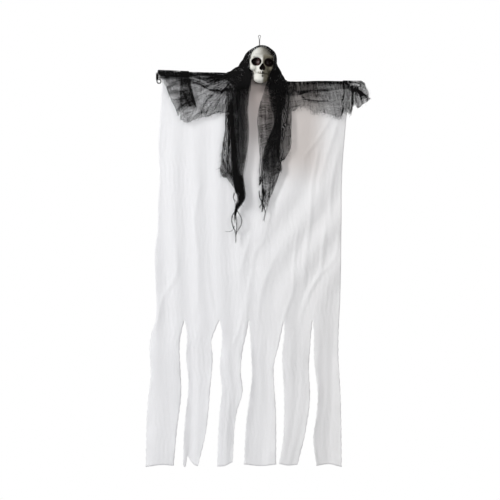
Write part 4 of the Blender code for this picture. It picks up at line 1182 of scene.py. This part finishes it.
def toward_knot(x, z):
    """Creases that run out from the point where the left sleeve is drawn up."""
    away_x = x - KNOT_POINT[0]
    away_z = z - KNOT_POINT[1]
    angle = np.arctan2(away_x, -away_z)
    reach = np.hypot(away_x, away_z)
    return 0.085 * angle, reach, np.cos(angle), np.sin(angle)


def leaning(x, z):
    """Creases that hang down and lean a little to the right."""
    length = math.hypot(1.0, CREASE_SLANT)
    ways = np.full_like(x, 1 / length), np.full_like(x, CREASE_SLANT / length)
    return x + CREASE_SLANT * z, z - CREASE_SLANT * x, *ways


def add_loose_threads(mesh_tools, starts, chance, longest, lean):
    """Short curled thread ends that hang from a torn hem."""
    for start in starts:
        length = longest * (0.25 + 0.75 * chance.random_sample() ** 1.5)
        turn = chance.uniform(-0.7, 0.7) + lean
        curl = chance.uniform(-0.5, 0.5)
        route = [start + np.array((0.0, -0.0004, 0.0015))]
        for step in range(1, 5):
            bend = turn + curl * step
            move = np.array((math.sin(bend), -0.15 * chance.random_sample(), -math.cos(bend)))
            route.append(route[-1] + move * length / 4)
        add_tube(mesh_tools, np.array(route), np.linspace(THREAD_ROOT, THREAD_TIP, len(route)), 4)


def add_binding(mesh_tools):
    """Threads of the sleeve wound round the wire's bent end."""
    stem_top = wire_height(-ARM_END * LEFT_SPAN)[0]
    angles = np.linspace(0, 2 * math.pi * BINDING_TURNS, 12 * BINDING_TURNS)
    height = stem_top - 0.004 - BINDING_HEIGHT * angles / angles[-1] + 0.0004 * np.sin(2.3 * angles)
    x = -LEFT_SPAN + 0.0003 + BINDING_RADIUS * np.cos(angles)
    route = np.column_stack([x, BINDING_RADIUS * np.sin(angles), height])
    add_tube(mesh_tools, route, BINDING_THREAD, 5)


def thread_black():
    paint = Paint("black_thread", Roughness=0.95, Specular_IOR_Level=0.02)
    fibre = paint.clouds(paint.place(), 1500.0)
    paint.feed("Base Color", paint.blend(fibre, GAUZE_BLACK, THREAD_GREY))
    paint.feed("Normal", paint.relief(fibre, 0.0001))
    return paint


def bunched(x, z, lines):
    """How much denser the threads lie at each x and z, by the distance from the lines."""
    dense = np.zeros_like(x)
    for width, strength, line in lines:
        line = np.array(line)
        nearest = np.full_like(x, 1.0)
        for start, end in zip(line, line[1:]):
            way = end - start
            share = ((x - start[0]) * way[0] + (z - start[1]) * way[1]) / way.dot(way)
            share = np.clip(share, 0, 1)
            away = np.hypot(x - start[0] - share * way[0], z - start[1] - share * way[1])
            nearest = np.minimum(nearest, away)
        dense += strength * np.exp(-((nearest / width) ** 2))
    return dense


def keep_on_cloth(mesh_tools, hem, dense, crease):
    """Numbers that the gauze's material reads at each vert of a grid."""
    hem_layer = mesh_tools.verts.layers.float.new("hem")
    dense_layer = mesh_tools.verts.layers.float.new("dense")
    crease_layer = mesh_tools.verts.layers.float_vector.new("crease")
    for number, vert in enumerate(mesh_tools.verts):
        place = divmod(number, hem.shape[1])
        vert[hem_layer] = float(hem[place])
        vert[dense_layer] = float(dense[place])
        vert[crease_layer] = (*crease[place], 0.0)


def sleeve_net(side, columns, hem_tables, folds):
    """Points of a sleeve from its back hem over the wire to its front hem, how far each is
    from the hem, and the wire's height at each column."""
    top, low, pleat = columns.T
    height = wire_height(np.clip(side * top, -0.98 * LEFT_SPAN, 0.98 * RIGHT_SPAN))
    under_hem, pleat_hem = (NECK + through(table, low)[:, 0] for table in hem_tables)
    torn = [noise.noise(Vector((place * 160, layer * 3, side * 5.0))) for place, layer in zip(low, pleat)]
    hem_z = np.where(pleat < 0.5, under_hem, pleat_hem) + HEM_TEAR * np.array(torn)
    lines = [height, *(height - line for line in through(folds, top).T)]
    lines = [*(np.maximum(line, hem_z + 0.001) for line in lines), hem_z]
    settled = smooth_step(top, 0.088, 0.115)
    beyond = smooth_step(side * top, 0.225, 0.240)
    back_drop = np.minimum(SLEEVE_BACK_DROP + 0.035 * beyond, (0.75 + 0.20 * beyond) * (height - hem_z))
    radius = SLEEVE_RADIUS + pleat * LAYER_STEP
    far = np.full(len(top), FAR_FROM_HEM)
    rows = []
    hems = []
    for share in np.linspace(0, 1, BACK_ROWS + 1)[:-1]:
        rows.append((top, radius + 0.002 * (1 - share), height - back_drop * (1 - share)))
        hems.append(back_drop * share)
    for angle in np.linspace(0, math.pi, ROLL_ROWS + 1):
        rows.append((top, radius * math.cos(angle), height + radius * math.sin(angle)))
        hems.append(far)
    for layer, count in enumerate(FRONT_ROWS):
        last_layer = layer + 1 == len(FRONT_ROWS)
        for share in np.linspace(0, 1, count + 1)[1:]:
            z = lines[layer] + share * (lines[layer + 1] - lines[layer])
            down = np.clip((height - z) / (height - hem_z), 0, 1)
            level = (layer + (0.5 if share == 1 and not last_layer else 0.0)) * settled * LAYER_STEP
            stand = SLEEVE_STAND + SLEEVE_FLARE * down + pleat * LAYER_STEP + level
            blend = smooth_step(height - z, 0.0, 0.020)
            x = top + down * (low - top)
            y = -(radius + level + (stand - radius - level) * blend)
            rows.append((x, y - CRUMPLE_DEPTH * blend * crumple(x, z), z))
            hems.append(z - hem_z if last_layer else far)
    points = np.array([np.column_stack([side * x, y, z]) for x, y, z in rows])
    rounded = smooth_step(side * top, 0.270, 0.302)
    points[..., 2] -= 0.006 * smooth_step(side * top, 0.286, 0.304) ** 2
    points[..., 0] -= 0.010 * rounded * (1 - smooth_step(height - points[..., 2], 0.0, 0.030))
    return points, np.array(hems), height


def gauze_sleeve(name, side, runs, hem_tables, folds, dark, gauze, creases, thread_paint):
    columns = runs_across(runs)
    top, _, pleat = columns.T
    points, hems, height = sleeve_net(side, columns, hem_tables, folds)
    below_wire = np.clip((height - points[..., 2]) / 0.018, 0, 1)
    shown = below_wire * smooth_step(top[-1] - top, 0.0, 0.010) * (points[..., 1] < 0)
    points = drawn_together(points, creases, shown.ravel())
    flat = np.empty((*points.shape[:2], 2))
    flat[..., 0] = run_of(np.column_stack([top, pleat * LAYER_STEP]))
    flat[..., 1] = run_of(points[:, len(top) // 3])[:, None]
    mesh_tools = bmesh.new()
    cloth_grid(mesh_tools, points, flat)
    facing = (points[..., 1] < 0) | (points[..., 0] > 0.243)
    dense = bunched(points[..., 0], points[..., 2], dark) * facing
    along_top = 1 - smooth_step(np.abs(points[..., 2] - height - 0.002), 0.002, 0.007)
    dense += 1.5 * along_top * (1 - 0.9 * smooth_step(points[..., 0], 0.245, 0.262))
    across, down, _, _ = creases(points[..., 0], points[..., 2])
    keep_on_cloth(mesh_tools, hems, dense, np.dstack([across, down]))
    lay_out(mesh_tools)
    sleeve = finished(mesh_tools, name + "_gauze", gauze)
    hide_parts(name)
    chance = np.random.RandomState(7 + side)
    loose = bmesh.new()
    picked = chance.choice(len(top), 90, replace=True)
    add_loose_threads(loose, points[-1, picked], chance, 0.013, 0.0)
    end_rows = chance.choice(np.arange(30, len(points)), 26, replace=True)
    add_loose_threads(loose, points[end_rows, -1], chance, 0.008, side * 1.1)
    if side < 0:
        add_binding(loose)
    finished(loose, name + "_threads", thread_paint)


thread_paint = thread_black()
gauze_sleeve(
    "sleeve_left", -1, LEFT_SLEEVE_RUNS, (LEFT_SLEEVE_HEM, LEFT_PLEAT_HEM), LEFT_SLEEVE_FOLDS,
    LEFT_SLEEVE_DARK, gauze_black("rumpled_gauze", 0.95), toward_knot, thread_paint,
)
gauze_sleeve(
    "sleeve_right", 1, RIGHT_SLEEVE_RUNS, (RIGHT_SLEEVE_HEM, RIGHT_SLEEVE_HEM), RIGHT_SLEEVE_FOLDS,
    RIGHT_SLEEVE_DARK, gauze_black("smoother_gauze", 0.6), leaning, thread_paint,
)


# Hood
# One long strip of the same gauze, laid over the skull and let hang down the chest. Its
# front edges are folded in pleats, and both ends are torn to loose threads.
HOOD_CLEARANCE = 0.0014
SHOULDER_RADIUS = 0.0058
CHEST_DEPTH = 0.0118
TAIL_DEPTH = 0.0133
TAIL_SWAY = 0.0015
LAYER_LIFT = 0.0007
SKULL_REACH = 0.078
BACK_EASE = 0.0025
CROWN_GAP = 0.0033
CROWN_LOW = -0.045
HOOD_TEAR = 0.010
LEFT_TAIL_LENGTH = 0.392
RIGHT_TAIL_LENGTH = 0.380
COLUMN_STEPS = 8
MIDDLE_COLUMN = 11 * COLUMN_STEPS
TAIL_STATIONS = 27
TAIL_STEPS = 5
# Height over the neck, then x of the inner edge, the start of the folded band and the outer edge
LEFT_TAIL_LINES = (
    (-0.452, -0.06, -0.068, -0.073), (-0.42, -0.064, -0.071, -0.078), (-0.37, -0.062, -0.067, -0.073),
    (-0.339, -0.043, -0.062, -0.068), (-0.303, -0.04, -0.07, -0.08), (-0.278, -0.042, -0.074, -0.102),
    (-0.25, -0.038, -0.076, -0.109), (-0.2, -0.032, -0.08, -0.106), (-0.116, -0.028, -0.082, -0.096),
    (-0.06, -0.027, -0.078, -0.091), (-0.028, -0.025, -0.072, -0.088),
)
# Height over the neck, then x of the inner edge, the band's two sides and the outer edge
RIGHT_TAIL_LINES = (
    (-0.392, 0.004, 0.006, 0.013, 0.014), (-0.365, -0.001, 0.004, 0.021, 0.023),
    (-0.317, -0.003, 0.003, 0.037, 0.041), (-0.283, -0.005, 0.003, 0.05, 0.054),
    (-0.25, -0.004, 0.003, 0.059, 0.062), (-0.228, -0.003, 0.005, 0.054, 0.072),
    (-0.2, -0.004, 0.011, 0.054, 0.084), (-0.16, -0.005, 0.027, 0.059, 0.085),
    (-0.116, -0.006, 0.042, 0.06, 0.087), (-0.09, -0.003, 0.036, 0.064, 0.087),
    (-0.06, 0.004, 0.026, 0.07, 0.087), (-0.028, 0.015, 0.021, 0.074, 0.079),
)
# Across each tail, from the face's edge: line and share of the way to the next, then layer
LEFT_TAIL_PATH = (
    (0, 4), (0.5, 4), (1, 4), (1, 3), (0.5, 3), (0.06, 3), (0.06, 2), (0.5, 2), (0.94, 2), (0.94, 1),
    (0.5, 1), (0.12, 1), (0.12, 0), (0.5, 0), (1, 0), (1.5, 0), (2, 0),
)
RIGHT_TAIL_PATH = (
    (0, 4), (0.5, 4), (1, 4), (1.5, 4), (2, 4), (2, 3), (1.5, 3), (1.06, 3), (1.06, 2), (1.5, 2),
    (1.94, 2), (1.94, 1), (1.1, 1), (1.1, 0), (1.9, 0), (2.5, 0), (3, 0),
)
# Where the tails are bunched, as for the sleeves
HOOD_DARK = (
    (0.006, 1.6, ((-0.083, -0.19), (-0.079, -0.26), (-0.074, -0.321), (-0.067, -0.39),
                   (-0.065, -0.432))),
    (0.008, 1.4, ((-0.056, -0.4), (-0.048, -0.45), (-0.05, -0.47), (-0.064, -0.49),
                   (-0.067, -0.52))),
    (0.0035, 1.0, ((-0.1, -0.352), (-0.093, -0.372), (-0.078, -0.392))),
    (0.003, 0.9, ((-0.09, -0.342), (-0.086, -0.37), (-0.072, -0.41))),
    (0.005, 0.8, ((0.048, -0.17), (0.056, -0.24), (0.054, -0.33))),
    (0.004, 0.8, ((0.048, -0.305), (0.06, -0.356), (0.074, -0.34))),
    (0.003, 1.0, ((0.002, -0.4), (0.012, -0.44), (0.009, -0.46), (0.0, -0.475))),
    (0.0025, 0.9, ((0.012, -0.44), (0.026, -0.47))),
    (0.0025, 0.9, ((0.05, -0.4), (0.036, -0.425), (0.01, -0.44))),
    (0.011, 0.5, ((-0.093, -0.285), (-0.091, -0.35), (-0.097, -0.39))),
    (0.008, 0.5, ((0.004, -0.405), (0.009, -0.44))),
    (0.007, 0.6, ((0.005, -0.195), (0.009, -0.23))),
)
# How far each column of a tail stops short of its end
LEFT_TAIL_SHORT = ((0, 0.012), (8, 0.0), (13, 0.020), (14, 0.060), (15, 0.098), (16, 0.118))
RIGHT_TAIL_SHORT = (
    (0, 0.07), (2, 0.09), (4, 0.112), (6, 0.118), (9, 0.116), (12, 0.12), (12.4, 0.04), (13, 0.004),
    (14, 0.02), (15, 0.13), (16, 0.15),
)
# Points across the head, from the face's edge to the edge that hangs behind the neck
HEAD_STATIONS = (
    ((-0.023, -0.03, -0.134), (-0.04, -0.024, -0.126), (-0.056, -0.018, -0.12),
     (-0.07, -0.014, -0.116), (-0.081, -0.011, -0.1135), (-0.089, -0.01, -0.112)),
    ((-0.02, -0.029, -0.118), (-0.042, -0.019, -0.104), (-0.062, -0.012, -0.099),
     (-0.077, -0.006, -0.1005), (-0.085, -0.0025, -0.103), (-0.09, 0.0, -0.1035)),
    ((-0.024, -0.028, -0.103), (-0.042, -0.0185, -0.092), (-0.06, -0.006, -0.089),
     (-0.073, 0.003, -0.095), (-0.08, 0.009, -0.104), (-0.083, 0.0105, -0.12)),
    ((-0.027, -0.028, -0.087), (-0.041, -0.017, -0.078), (-0.052, -0.003, -0.076),
     (-0.06, 0.012, -0.09), (-0.062, 0.016, -0.13), (-0.064, 0.013, -0.19)),
    ((-0.032, -0.018, -0.068), (-0.038, -0.009, -0.064), (-0.043, 0.002, -0.062),
     (-0.046, 0.024, -0.074), (-0.045, 0.024, -0.14), (-0.047, 0.013, -0.242)),
    ((-0.027, -0.014, -0.045), (-0.032, -0.004, -0.046), (-0.035, 0.012, -0.048),
     (-0.032, 0.04, -0.064), (-0.028, 0.038, -0.15), (-0.028, 0.015, -0.29)),
    ((0.008, -0.016, -0.0315), (0.0078, -0.004, -0.0295), (0.0075, 0.012, -0.0295),
     (0.0075, 0.045, -0.05), (0.006, 0.047, -0.15), (0.004, 0.015, -0.305)),
    ((0.02, -0.034, -0.046), (0.04, -0.014, -0.049), (0.047, 0.01, -0.056),
     (0.044, 0.038, -0.07), (0.038, 0.038, -0.155), (0.036, 0.015, -0.29)),
    ((0.04, -0.028, -0.074), (0.045, -0.013, -0.072), (0.0478, 0.004, -0.076),
     (0.0495, 0.022, -0.088), (0.052, 0.022, -0.15), (0.057, 0.013, -0.24)),
    ((0.036, -0.027, -0.092), (0.045, -0.018, -0.09), (0.054, -0.003, -0.093),
     (0.0605, 0.011, -0.102), (0.065, 0.014, -0.135), (0.069, 0.012, -0.19)),
    ((0.029, -0.028, -0.108), (0.044, -0.02, -0.106), (0.058, -0.009, -0.109),
     (0.068, 0.003, -0.115), (0.073, 0.01, -0.127), (0.075, 0.0105, -0.146)),
    ((0.023, -0.029, -0.122), (0.04, -0.02, -0.119), (0.055, -0.013, -0.12),
     (0.066, -0.007, -0.122), (0.073, -0.0025, -0.1255), (0.077, 0.0, -0.1262)),
    ((0.02, -0.03, -0.136), (0.036, -0.024, -0.134), (0.05, -0.018, -0.134),
     (0.062, -0.014, -0.134), (0.071, -0.011, -0.1345), (0.078, -0.01, -0.135)),
)
HEAD_SPREAD = tuple(0.035 * column for column in range(11)) + (0.39, 0.45, 0.55, 0.68, 0.83, 1)
# How much of the tails' pleating each station of the head keeps
HEAD_PLEATS = (1.0, 0.85, 0.65, 0.45, 0.30, 0.15, 0.05, 0.12, 0.30, 0.45, 0.65, 0.85, 1.0)
# Threads at the torn ends: (x, z) points from top to bottom, how far the threads stray, and
# how many there are
LOOSE_ENDS = (
    (((-0.064, -0.47), (-0.067, -0.49), (-0.0745, -0.506), (-0.0775, -0.52), (-0.0735, -0.535),
      (-0.067, -0.548), (-0.066, -0.572)), 0.0011, 9),
    (((-0.062, -0.47), (-0.063, -0.49), (-0.0545, -0.503), (-0.0495, -0.518), (-0.052, -0.533),
      (-0.06, -0.545), (-0.0655, -0.556)), 0.0011, 9),
    (((-0.064, -0.48), (-0.0665, -0.505), (-0.063, -0.53), (-0.0655, -0.555), (-0.0645, -0.58)), 0.0016, 7),
    (((-0.069, -0.533), (-0.078, -0.546), (-0.088, -0.551), (-0.0945, -0.548)), 0.001, 3),
    (((-0.07, -0.44), (-0.072, -0.455), (-0.066, -0.47), (-0.065, -0.49)), 0.0016, 6),
    (((0.006, -0.46), (0.011, -0.48), (0.016, -0.497), (0.014, -0.51), (0.012, -0.52)), 0.0014, 8),
    (((0.0, -0.435), (0.001, -0.455), (0.006, -0.47), (0.0, -0.484)), 0.0016, 6),
    (((0.027, -0.44), (0.025, -0.462), (0.023, -0.475), (0.019, -0.492)), 0.0016, 6),
    (((0.002, -0.45), (0.012, -0.462), (0.024, -0.478)), 0.0012, 3),
    (((0.026, -0.44), (0.014, -0.456), (0.003, -0.47)), 0.0012, 3),
)
HEAD_STEPS = (8, 6, 6, 6, 6, 8, 12, 12, 8, 6, 6, 6, 6, 8)


def fine_path(path):
    """A tail's path at every fine column: line, layer, and how far a fold stands out."""
    numbers = np.arange((len(path) - 1) * COLUMN_STEPS + 1) / COLUMN_STEPS
    coarse = np.arange(len(path))
    line = np.interp(numbers, coarse, [point[0] for point in path])
    layer = np.interp(numbers, coarse, [point[1] for point in path])
    bulge = np.zeros(len(numbers))
    for step in range(1, len(path) - 1):
        if path[step][0] == path[step + 1][0]:
            way = math.copysign(1.0, path[step][0] - path[step - 1][0])
            inside = (numbers > step) & (numbers < step + 1)
            bulge[inside] = way * np.sin(math.pi * (numbers[inside] - step))
    return numbers, line, layer, bulge


def tail_station(lines, path, short, length, share, side):
    """One station of a tail, at a share of the way down it."""
    numbers, line, layer, bulge = fine_path(path)
    top = lines[-1][0]
    stop = length - through(short, numbers)[:, 0]
    height = top - share * (stop + top)
    edges = through(lines, height)
    whole = np.minimum(line.astype(int), edges.shape[1] - 2)
    rows = np.arange(len(numbers))
    x = edges[rows, whole] + (line - whole) * (edges[rows, whole + 1] - edges[rows, whole])
    x = x + side * bulge * LAYER_STEP / 2
    y = -TAIL_DEPTH - layer * LAYER_STEP - TAIL_SWAY * np.sin(9 * share + 0.5 * numbers)
    return np.column_stack([x, y, NECK + height])


def head_station(points, path, keep):
    numbers, line, _, _ = fine_path(path)
    plain = np.interp(numbers, np.arange(len(HEAD_SPREAD)), HEAD_SPREAD)
    reach = path[-1][0]
    pleated = 0.36 * np.minimum(line, reach - 1) / (reach - 1) + 0.64 * np.maximum(line - reach + 1, 0)
    spread = (1 - keep) * plain + keep * pleated
    run = run_of(np.array(points))
    return through(np.column_stack([run, points]), spread * run[-1])


def clear_of_body(points, layers):
    """Push hood points out until they clear the skull, the covered arms and the chest."""
    least = HOOD_CLEARANCE + LAYER_LIFT * layers
    near = np.linalg.norm(points - SKULL_CENTRE, axis=1) < SKULL_REACH
    for _ in range(4):
        part = points[near]
        lift = np.maximum(least[near] - skull_distance(part), 0)
        points[near] = part + skull_slope(part) * lift[:, None]
    arm = wire_height(points[:, 0])
    lift = points[:, 2] - arm
    away = np.hypot(points[:, 1], lift)
    radius = SHOULDER_RADIUS + LAYER_LIFT * layers
    scale = np.maximum(radius / np.maximum(away, 1e-6), 1)
    points[:, 1] *= scale
    points[:, 2] = arm + lift * scale
    lowered = smooth_step(arm - points[:, 2], 0.0, 0.016)
    front = radius + lowered * (CHEST_DEPTH - SHOULDER_RADIUS)
    below = points[:, 2] < arm
    ahead = below & (points[:, 1] < 0)
    behind = below & (points[:, 1] >= 0)
    points[ahead, 1] = np.minimum(points[ahead, 1], -front[ahead])
    points[behind, 1] = np.maximum(points[behind, 1], radius[behind] + BACK_EASE)
    return points


def gathered(points, run, width, amount):
    """Cloth pushed together sideways into small lengthwise creases."""
    made = points.copy()
    for row, along_it in enumerate(run):
        for column, across in enumerate(width):
            spot = Vector((across / 0.013, along_it / 0.085, 3.3))
            fine = Vector((across / 0.006, along_it / 0.040, 8.1))
            wave = 0.0068 * noise.noise(spot) + 0.0028 * noise.noise(fine)
            made[row, column, 0] += amount[row] * wave
            made[row, column, 1] += amount[row] * 0.0008 * noise.noise(spot + Vector((5.2, 0.0, 0.0)))
    return made


def hood_net():
    """The hood's points from the left tail's end over the head to the right tail's end."""
    shares = np.linspace(1, 0.03, TAIL_STATIONS)
    left_tail = (LEFT_TAIL_LINES, LEFT_TAIL_PATH, LEFT_TAIL_SHORT, LEFT_TAIL_LENGTH)
    right_tail = (RIGHT_TAIL_LINES, RIGHT_TAIL_PATH, RIGHT_TAIL_SHORT, RIGHT_TAIL_LENGTH)
    left = [tail_station(*left_tail, share, -1) for share in shares]
    right = [tail_station(*right_tail, share, 1) for share in shares]
    half = len(HEAD_STATIONS) // 2
    head = [
        head_station(points, LEFT_TAIL_PATH if number < half else RIGHT_TAIL_PATH, HEAD_PLEATS[number])
        for number, points in enumerate(HEAD_STATIONS)
    ]
    stations = np.array([*left, *head, *right[::-1]])
    tail_spans = [TAIL_STEPS] * (TAIL_STATIONS - 1)
    spans = [*tail_spans, *HEAD_STEPS, *tail_spans]
    middle = run_of(stations[:, MIDDLE_COLUMN])
    places = [number + step / steps for number, steps in enumerate(spans) for step in range(steps)]
    places = np.array([*places, len(spans)])
    flat = np.column_stack([middle, stations.reshape(len(stations), -1)])
    net = through(flat, np.interp(places, np.arange(len(stations)), middle))
    return net.reshape(len(places), -1, 3), places


def add_torn_ends(mesh_tools, net, chance):
    """The threads left where both tails are torn off."""
    for bundle, spread, number in LOOSE_ENDS:
        x, z = np.array(bundle).T
        front = np.full(len(x), -TAIL_DEPTH - 0.0010)
        for _ in range(number):
            shift = spread * chance.standard_normal((len(x), 3)) * np.array((1.0, 0.35, 1.0))
            route = along(np.column_stack([x, front, z]) + shift, 0.006)
            thick = chance.uniform(0.00022, 0.00046)
            add_tube(mesh_tools, route, np.linspace(thick, 0.5 * thick, len(route)), 5)
    edges = [net[0, :], net[-1, :], net[2:40:2, -1], net[-40:-2:2, -1], net[4:40:3, 0], net[-40:-4:3, 0]]
    for edge in edges:
        picked = edge[chance.choice(len(edge), 22, replace=True)]
        add_loose_threads(mesh_tools, picked, chance, 0.016, 0.0)


def hood_density(net, share, on_head):
    """How much denser than plain gauze the threads lie at each point of the hood."""
    column = np.arange(net.shape[1]) / COLUMN_STEPS
    x, y, z = (net[..., axis] for axis in range(3))
    rim = 1 - smooth_step(column, 7, 12)
    veil = (y < -0.026) & (x > 0.006) & (z > -0.070)
    dense = 0.40 + (0.55 + rim) * on_head * np.where(veil, -0.6, 1.0)
    dense += 1.1 * smooth_step(z, -0.160, -0.140) * (1 - smooth_step(z, -0.100, -0.080))
    left_band = (column < 13) & (share < 0.5)
    right_band = (column > 4) & (column < 13) & (share >= 0.5)
    hangs = (1 - on_head) * smooth_step(-z, 0.125, 0.185)
    return dense + hangs * (bunched(x, z, HOOD_DARK) - 0.85 * left_band - 0.62 * right_band)


def at_crown(x, y, z):
    """Where the cord comes through the hood."""
    return z > CROWN_LOW and math.hypot(x, y) < CROWN_GAP


def hood():
    plain_net, places = hood_net()
    rows, columns, _ = plain_net.shape
    share = (places / places[-1])[:, None]
    layers_left = fine_path(LEFT_TAIL_PATH)[2]
    layers_right = fine_path(RIGHT_TAIL_PATH)[2]
    layers = np.where(share < 0.5, layers_left, layers_right)
    run = run_of(plain_net[:, MIDDLE_COLUMN])
    width = run_of(plain_net[6])
    head_first = TAIL_STATIONS - 1
    head_last = head_first + len(HEAD_STATIONS) + 1
    on_head = smooth_step(places, head_first, head_first + 3)
    on_head *= 1 - smooth_step(places, head_last - 3, head_last)
    net = gathered(plain_net, run, width, 1 - 0.85 * on_head)
    net = clear_of_body(net.reshape(-1, 3), layers.ravel()).reshape(rows, columns, 3)
    on_head = on_head[:, None]
    down = np.minimum(run, run[-1] - run)
    torn = [HOOD_TEAR * abs(noise.noise(Vector((place / 0.004, 2.2, 0.0)))) for place in width]
    hem = down[:, None] - np.array(torn)
    flat = np.empty((rows, columns, 2))
    widths = np.array([run_of(row) for row in plain_net])
    from_middle = widths - widths[:, columns // 2:columns // 2 + 1]
    flat[..., 0] = on_head * from_middle + (1 - on_head) * (plain_net[..., 0] + 0.07 * layers)
    flat[..., 1] = run[:, None]
    mesh_tools = bmesh.new()
    cloth_grid(mesh_tools, net, flat)
    keep_on_cloth(mesh_tools, hem, hood_density(net, share, on_head), flat)
    cut_away(mesh_tools, at_crown)
    lay_out(mesh_tools)
    strip = finished(mesh_tools, "hood_gauze", gauze_black("black_gauze", 0.7))
    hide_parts("hood")
    loose = bmesh.new()
    add_torn_ends(loose, net, np.random.RandomState(3))
    finished(loose, "hood_threads", thread_paint)


hood()


# Studio
# A white room: soft light from the front left, weaker light from the front right and from
# behind, and a pale floor well below.
KEY_POWER = 96.57
FILL_POWER = 33.3
BACK_POWER = 24.975
ROOM_LIGHT = 0.30
FLOOR_DROP = 1.90

bpy.context.scene.view_settings.view_transform = "Standard"


def soft_light(name, place, aim, size, power):
    data = bpy.data.lights.new(name, "AREA")
    data.shape = "DISK"
    data.size = size
    data.energy = power
    lamp = bpy.data.objects.new(name, data)
    lamp.location = place
    heading = Vector(aim) - Vector(place)
    lamp.rotation_euler = heading.to_track_quat("-Z", "Y").to_euler()
    bpy.context.scene.collection.objects.link(lamp)


class RoomPaint(Paint):
    """The same tools for the nodes of the room all round."""

    def __init__(self, world):
        world.use_nodes = True
        self.tree = world.node_tree
        self.surface = self.tree.nodes["Background"]


def room():
    """White where it is seen, mirrored or seen through, and dimmer where it lights."""
    world = bpy.data.worlds.new("room")
    bpy.context.scene.world = world
    paint = RoomPaint(world)
    kinds = ("Camera", "Glossy", "Transmission")
    direct, mirrored, through_glass = (paint.node("LightPath", {}, {}, f"Is {kind} Ray") for kind in kinds)
    seen = direct.most(mirrored.most(through_glass))
    paint.surface.inputs["Color"].default_value = (1.0, 1.0, 1.0, 1.0)
    paint.feed("Strength", ROOM_LIGHT + (1 - ROOM_LIGHT) * seen)


def floor():
    mesh_tools = bmesh.new()
    bmesh.ops.create_circle(mesh_tools, cap_ends=True, segments=96, radius=1.6)
    bmesh.ops.translate(mesh_tools, verts=mesh_tools.verts[:], vec=(0.0, 0.0, -FLOOR_DROP))
    mesh = bpy.data.meshes.new("floor")
    mesh_tools.to_mesh(mesh)
    mesh_tools.free()
    made = bpy.data.objects.new("floor", mesh)
    bpy.context.scene.collection.objects.link(made)
    paint = Paint("pale_floor", Roughness=0.9)
    x, y, _ = paint.parts(paint.place())
    out = (x * x + y * y) ** 0.5
    paint.feed("Base Color", paint.blend(out.eased(0.0, 1.5), (0.93, 0.93, 0.93), (0.96, 0.96, 0.96)))
    paint.feed("Alpha", 1 - out.eased(0.85, 1.55))
    mesh.materials.append(paint.material)


room()
floor()
soft_light("key", (-2.7, -1.7, 0.9), (0.0, 0.0, -0.5), 0.9, KEY_POWER)
soft_light("fill", (1.8, -2.8, 0.3), (0.0, 0.0, -0.6), 1.6, FILL_POWER)
soft_light("back", (1.2, 3.0, 0.6), (0.0, 0.0, -0.5), 1.6, BACK_POWER)
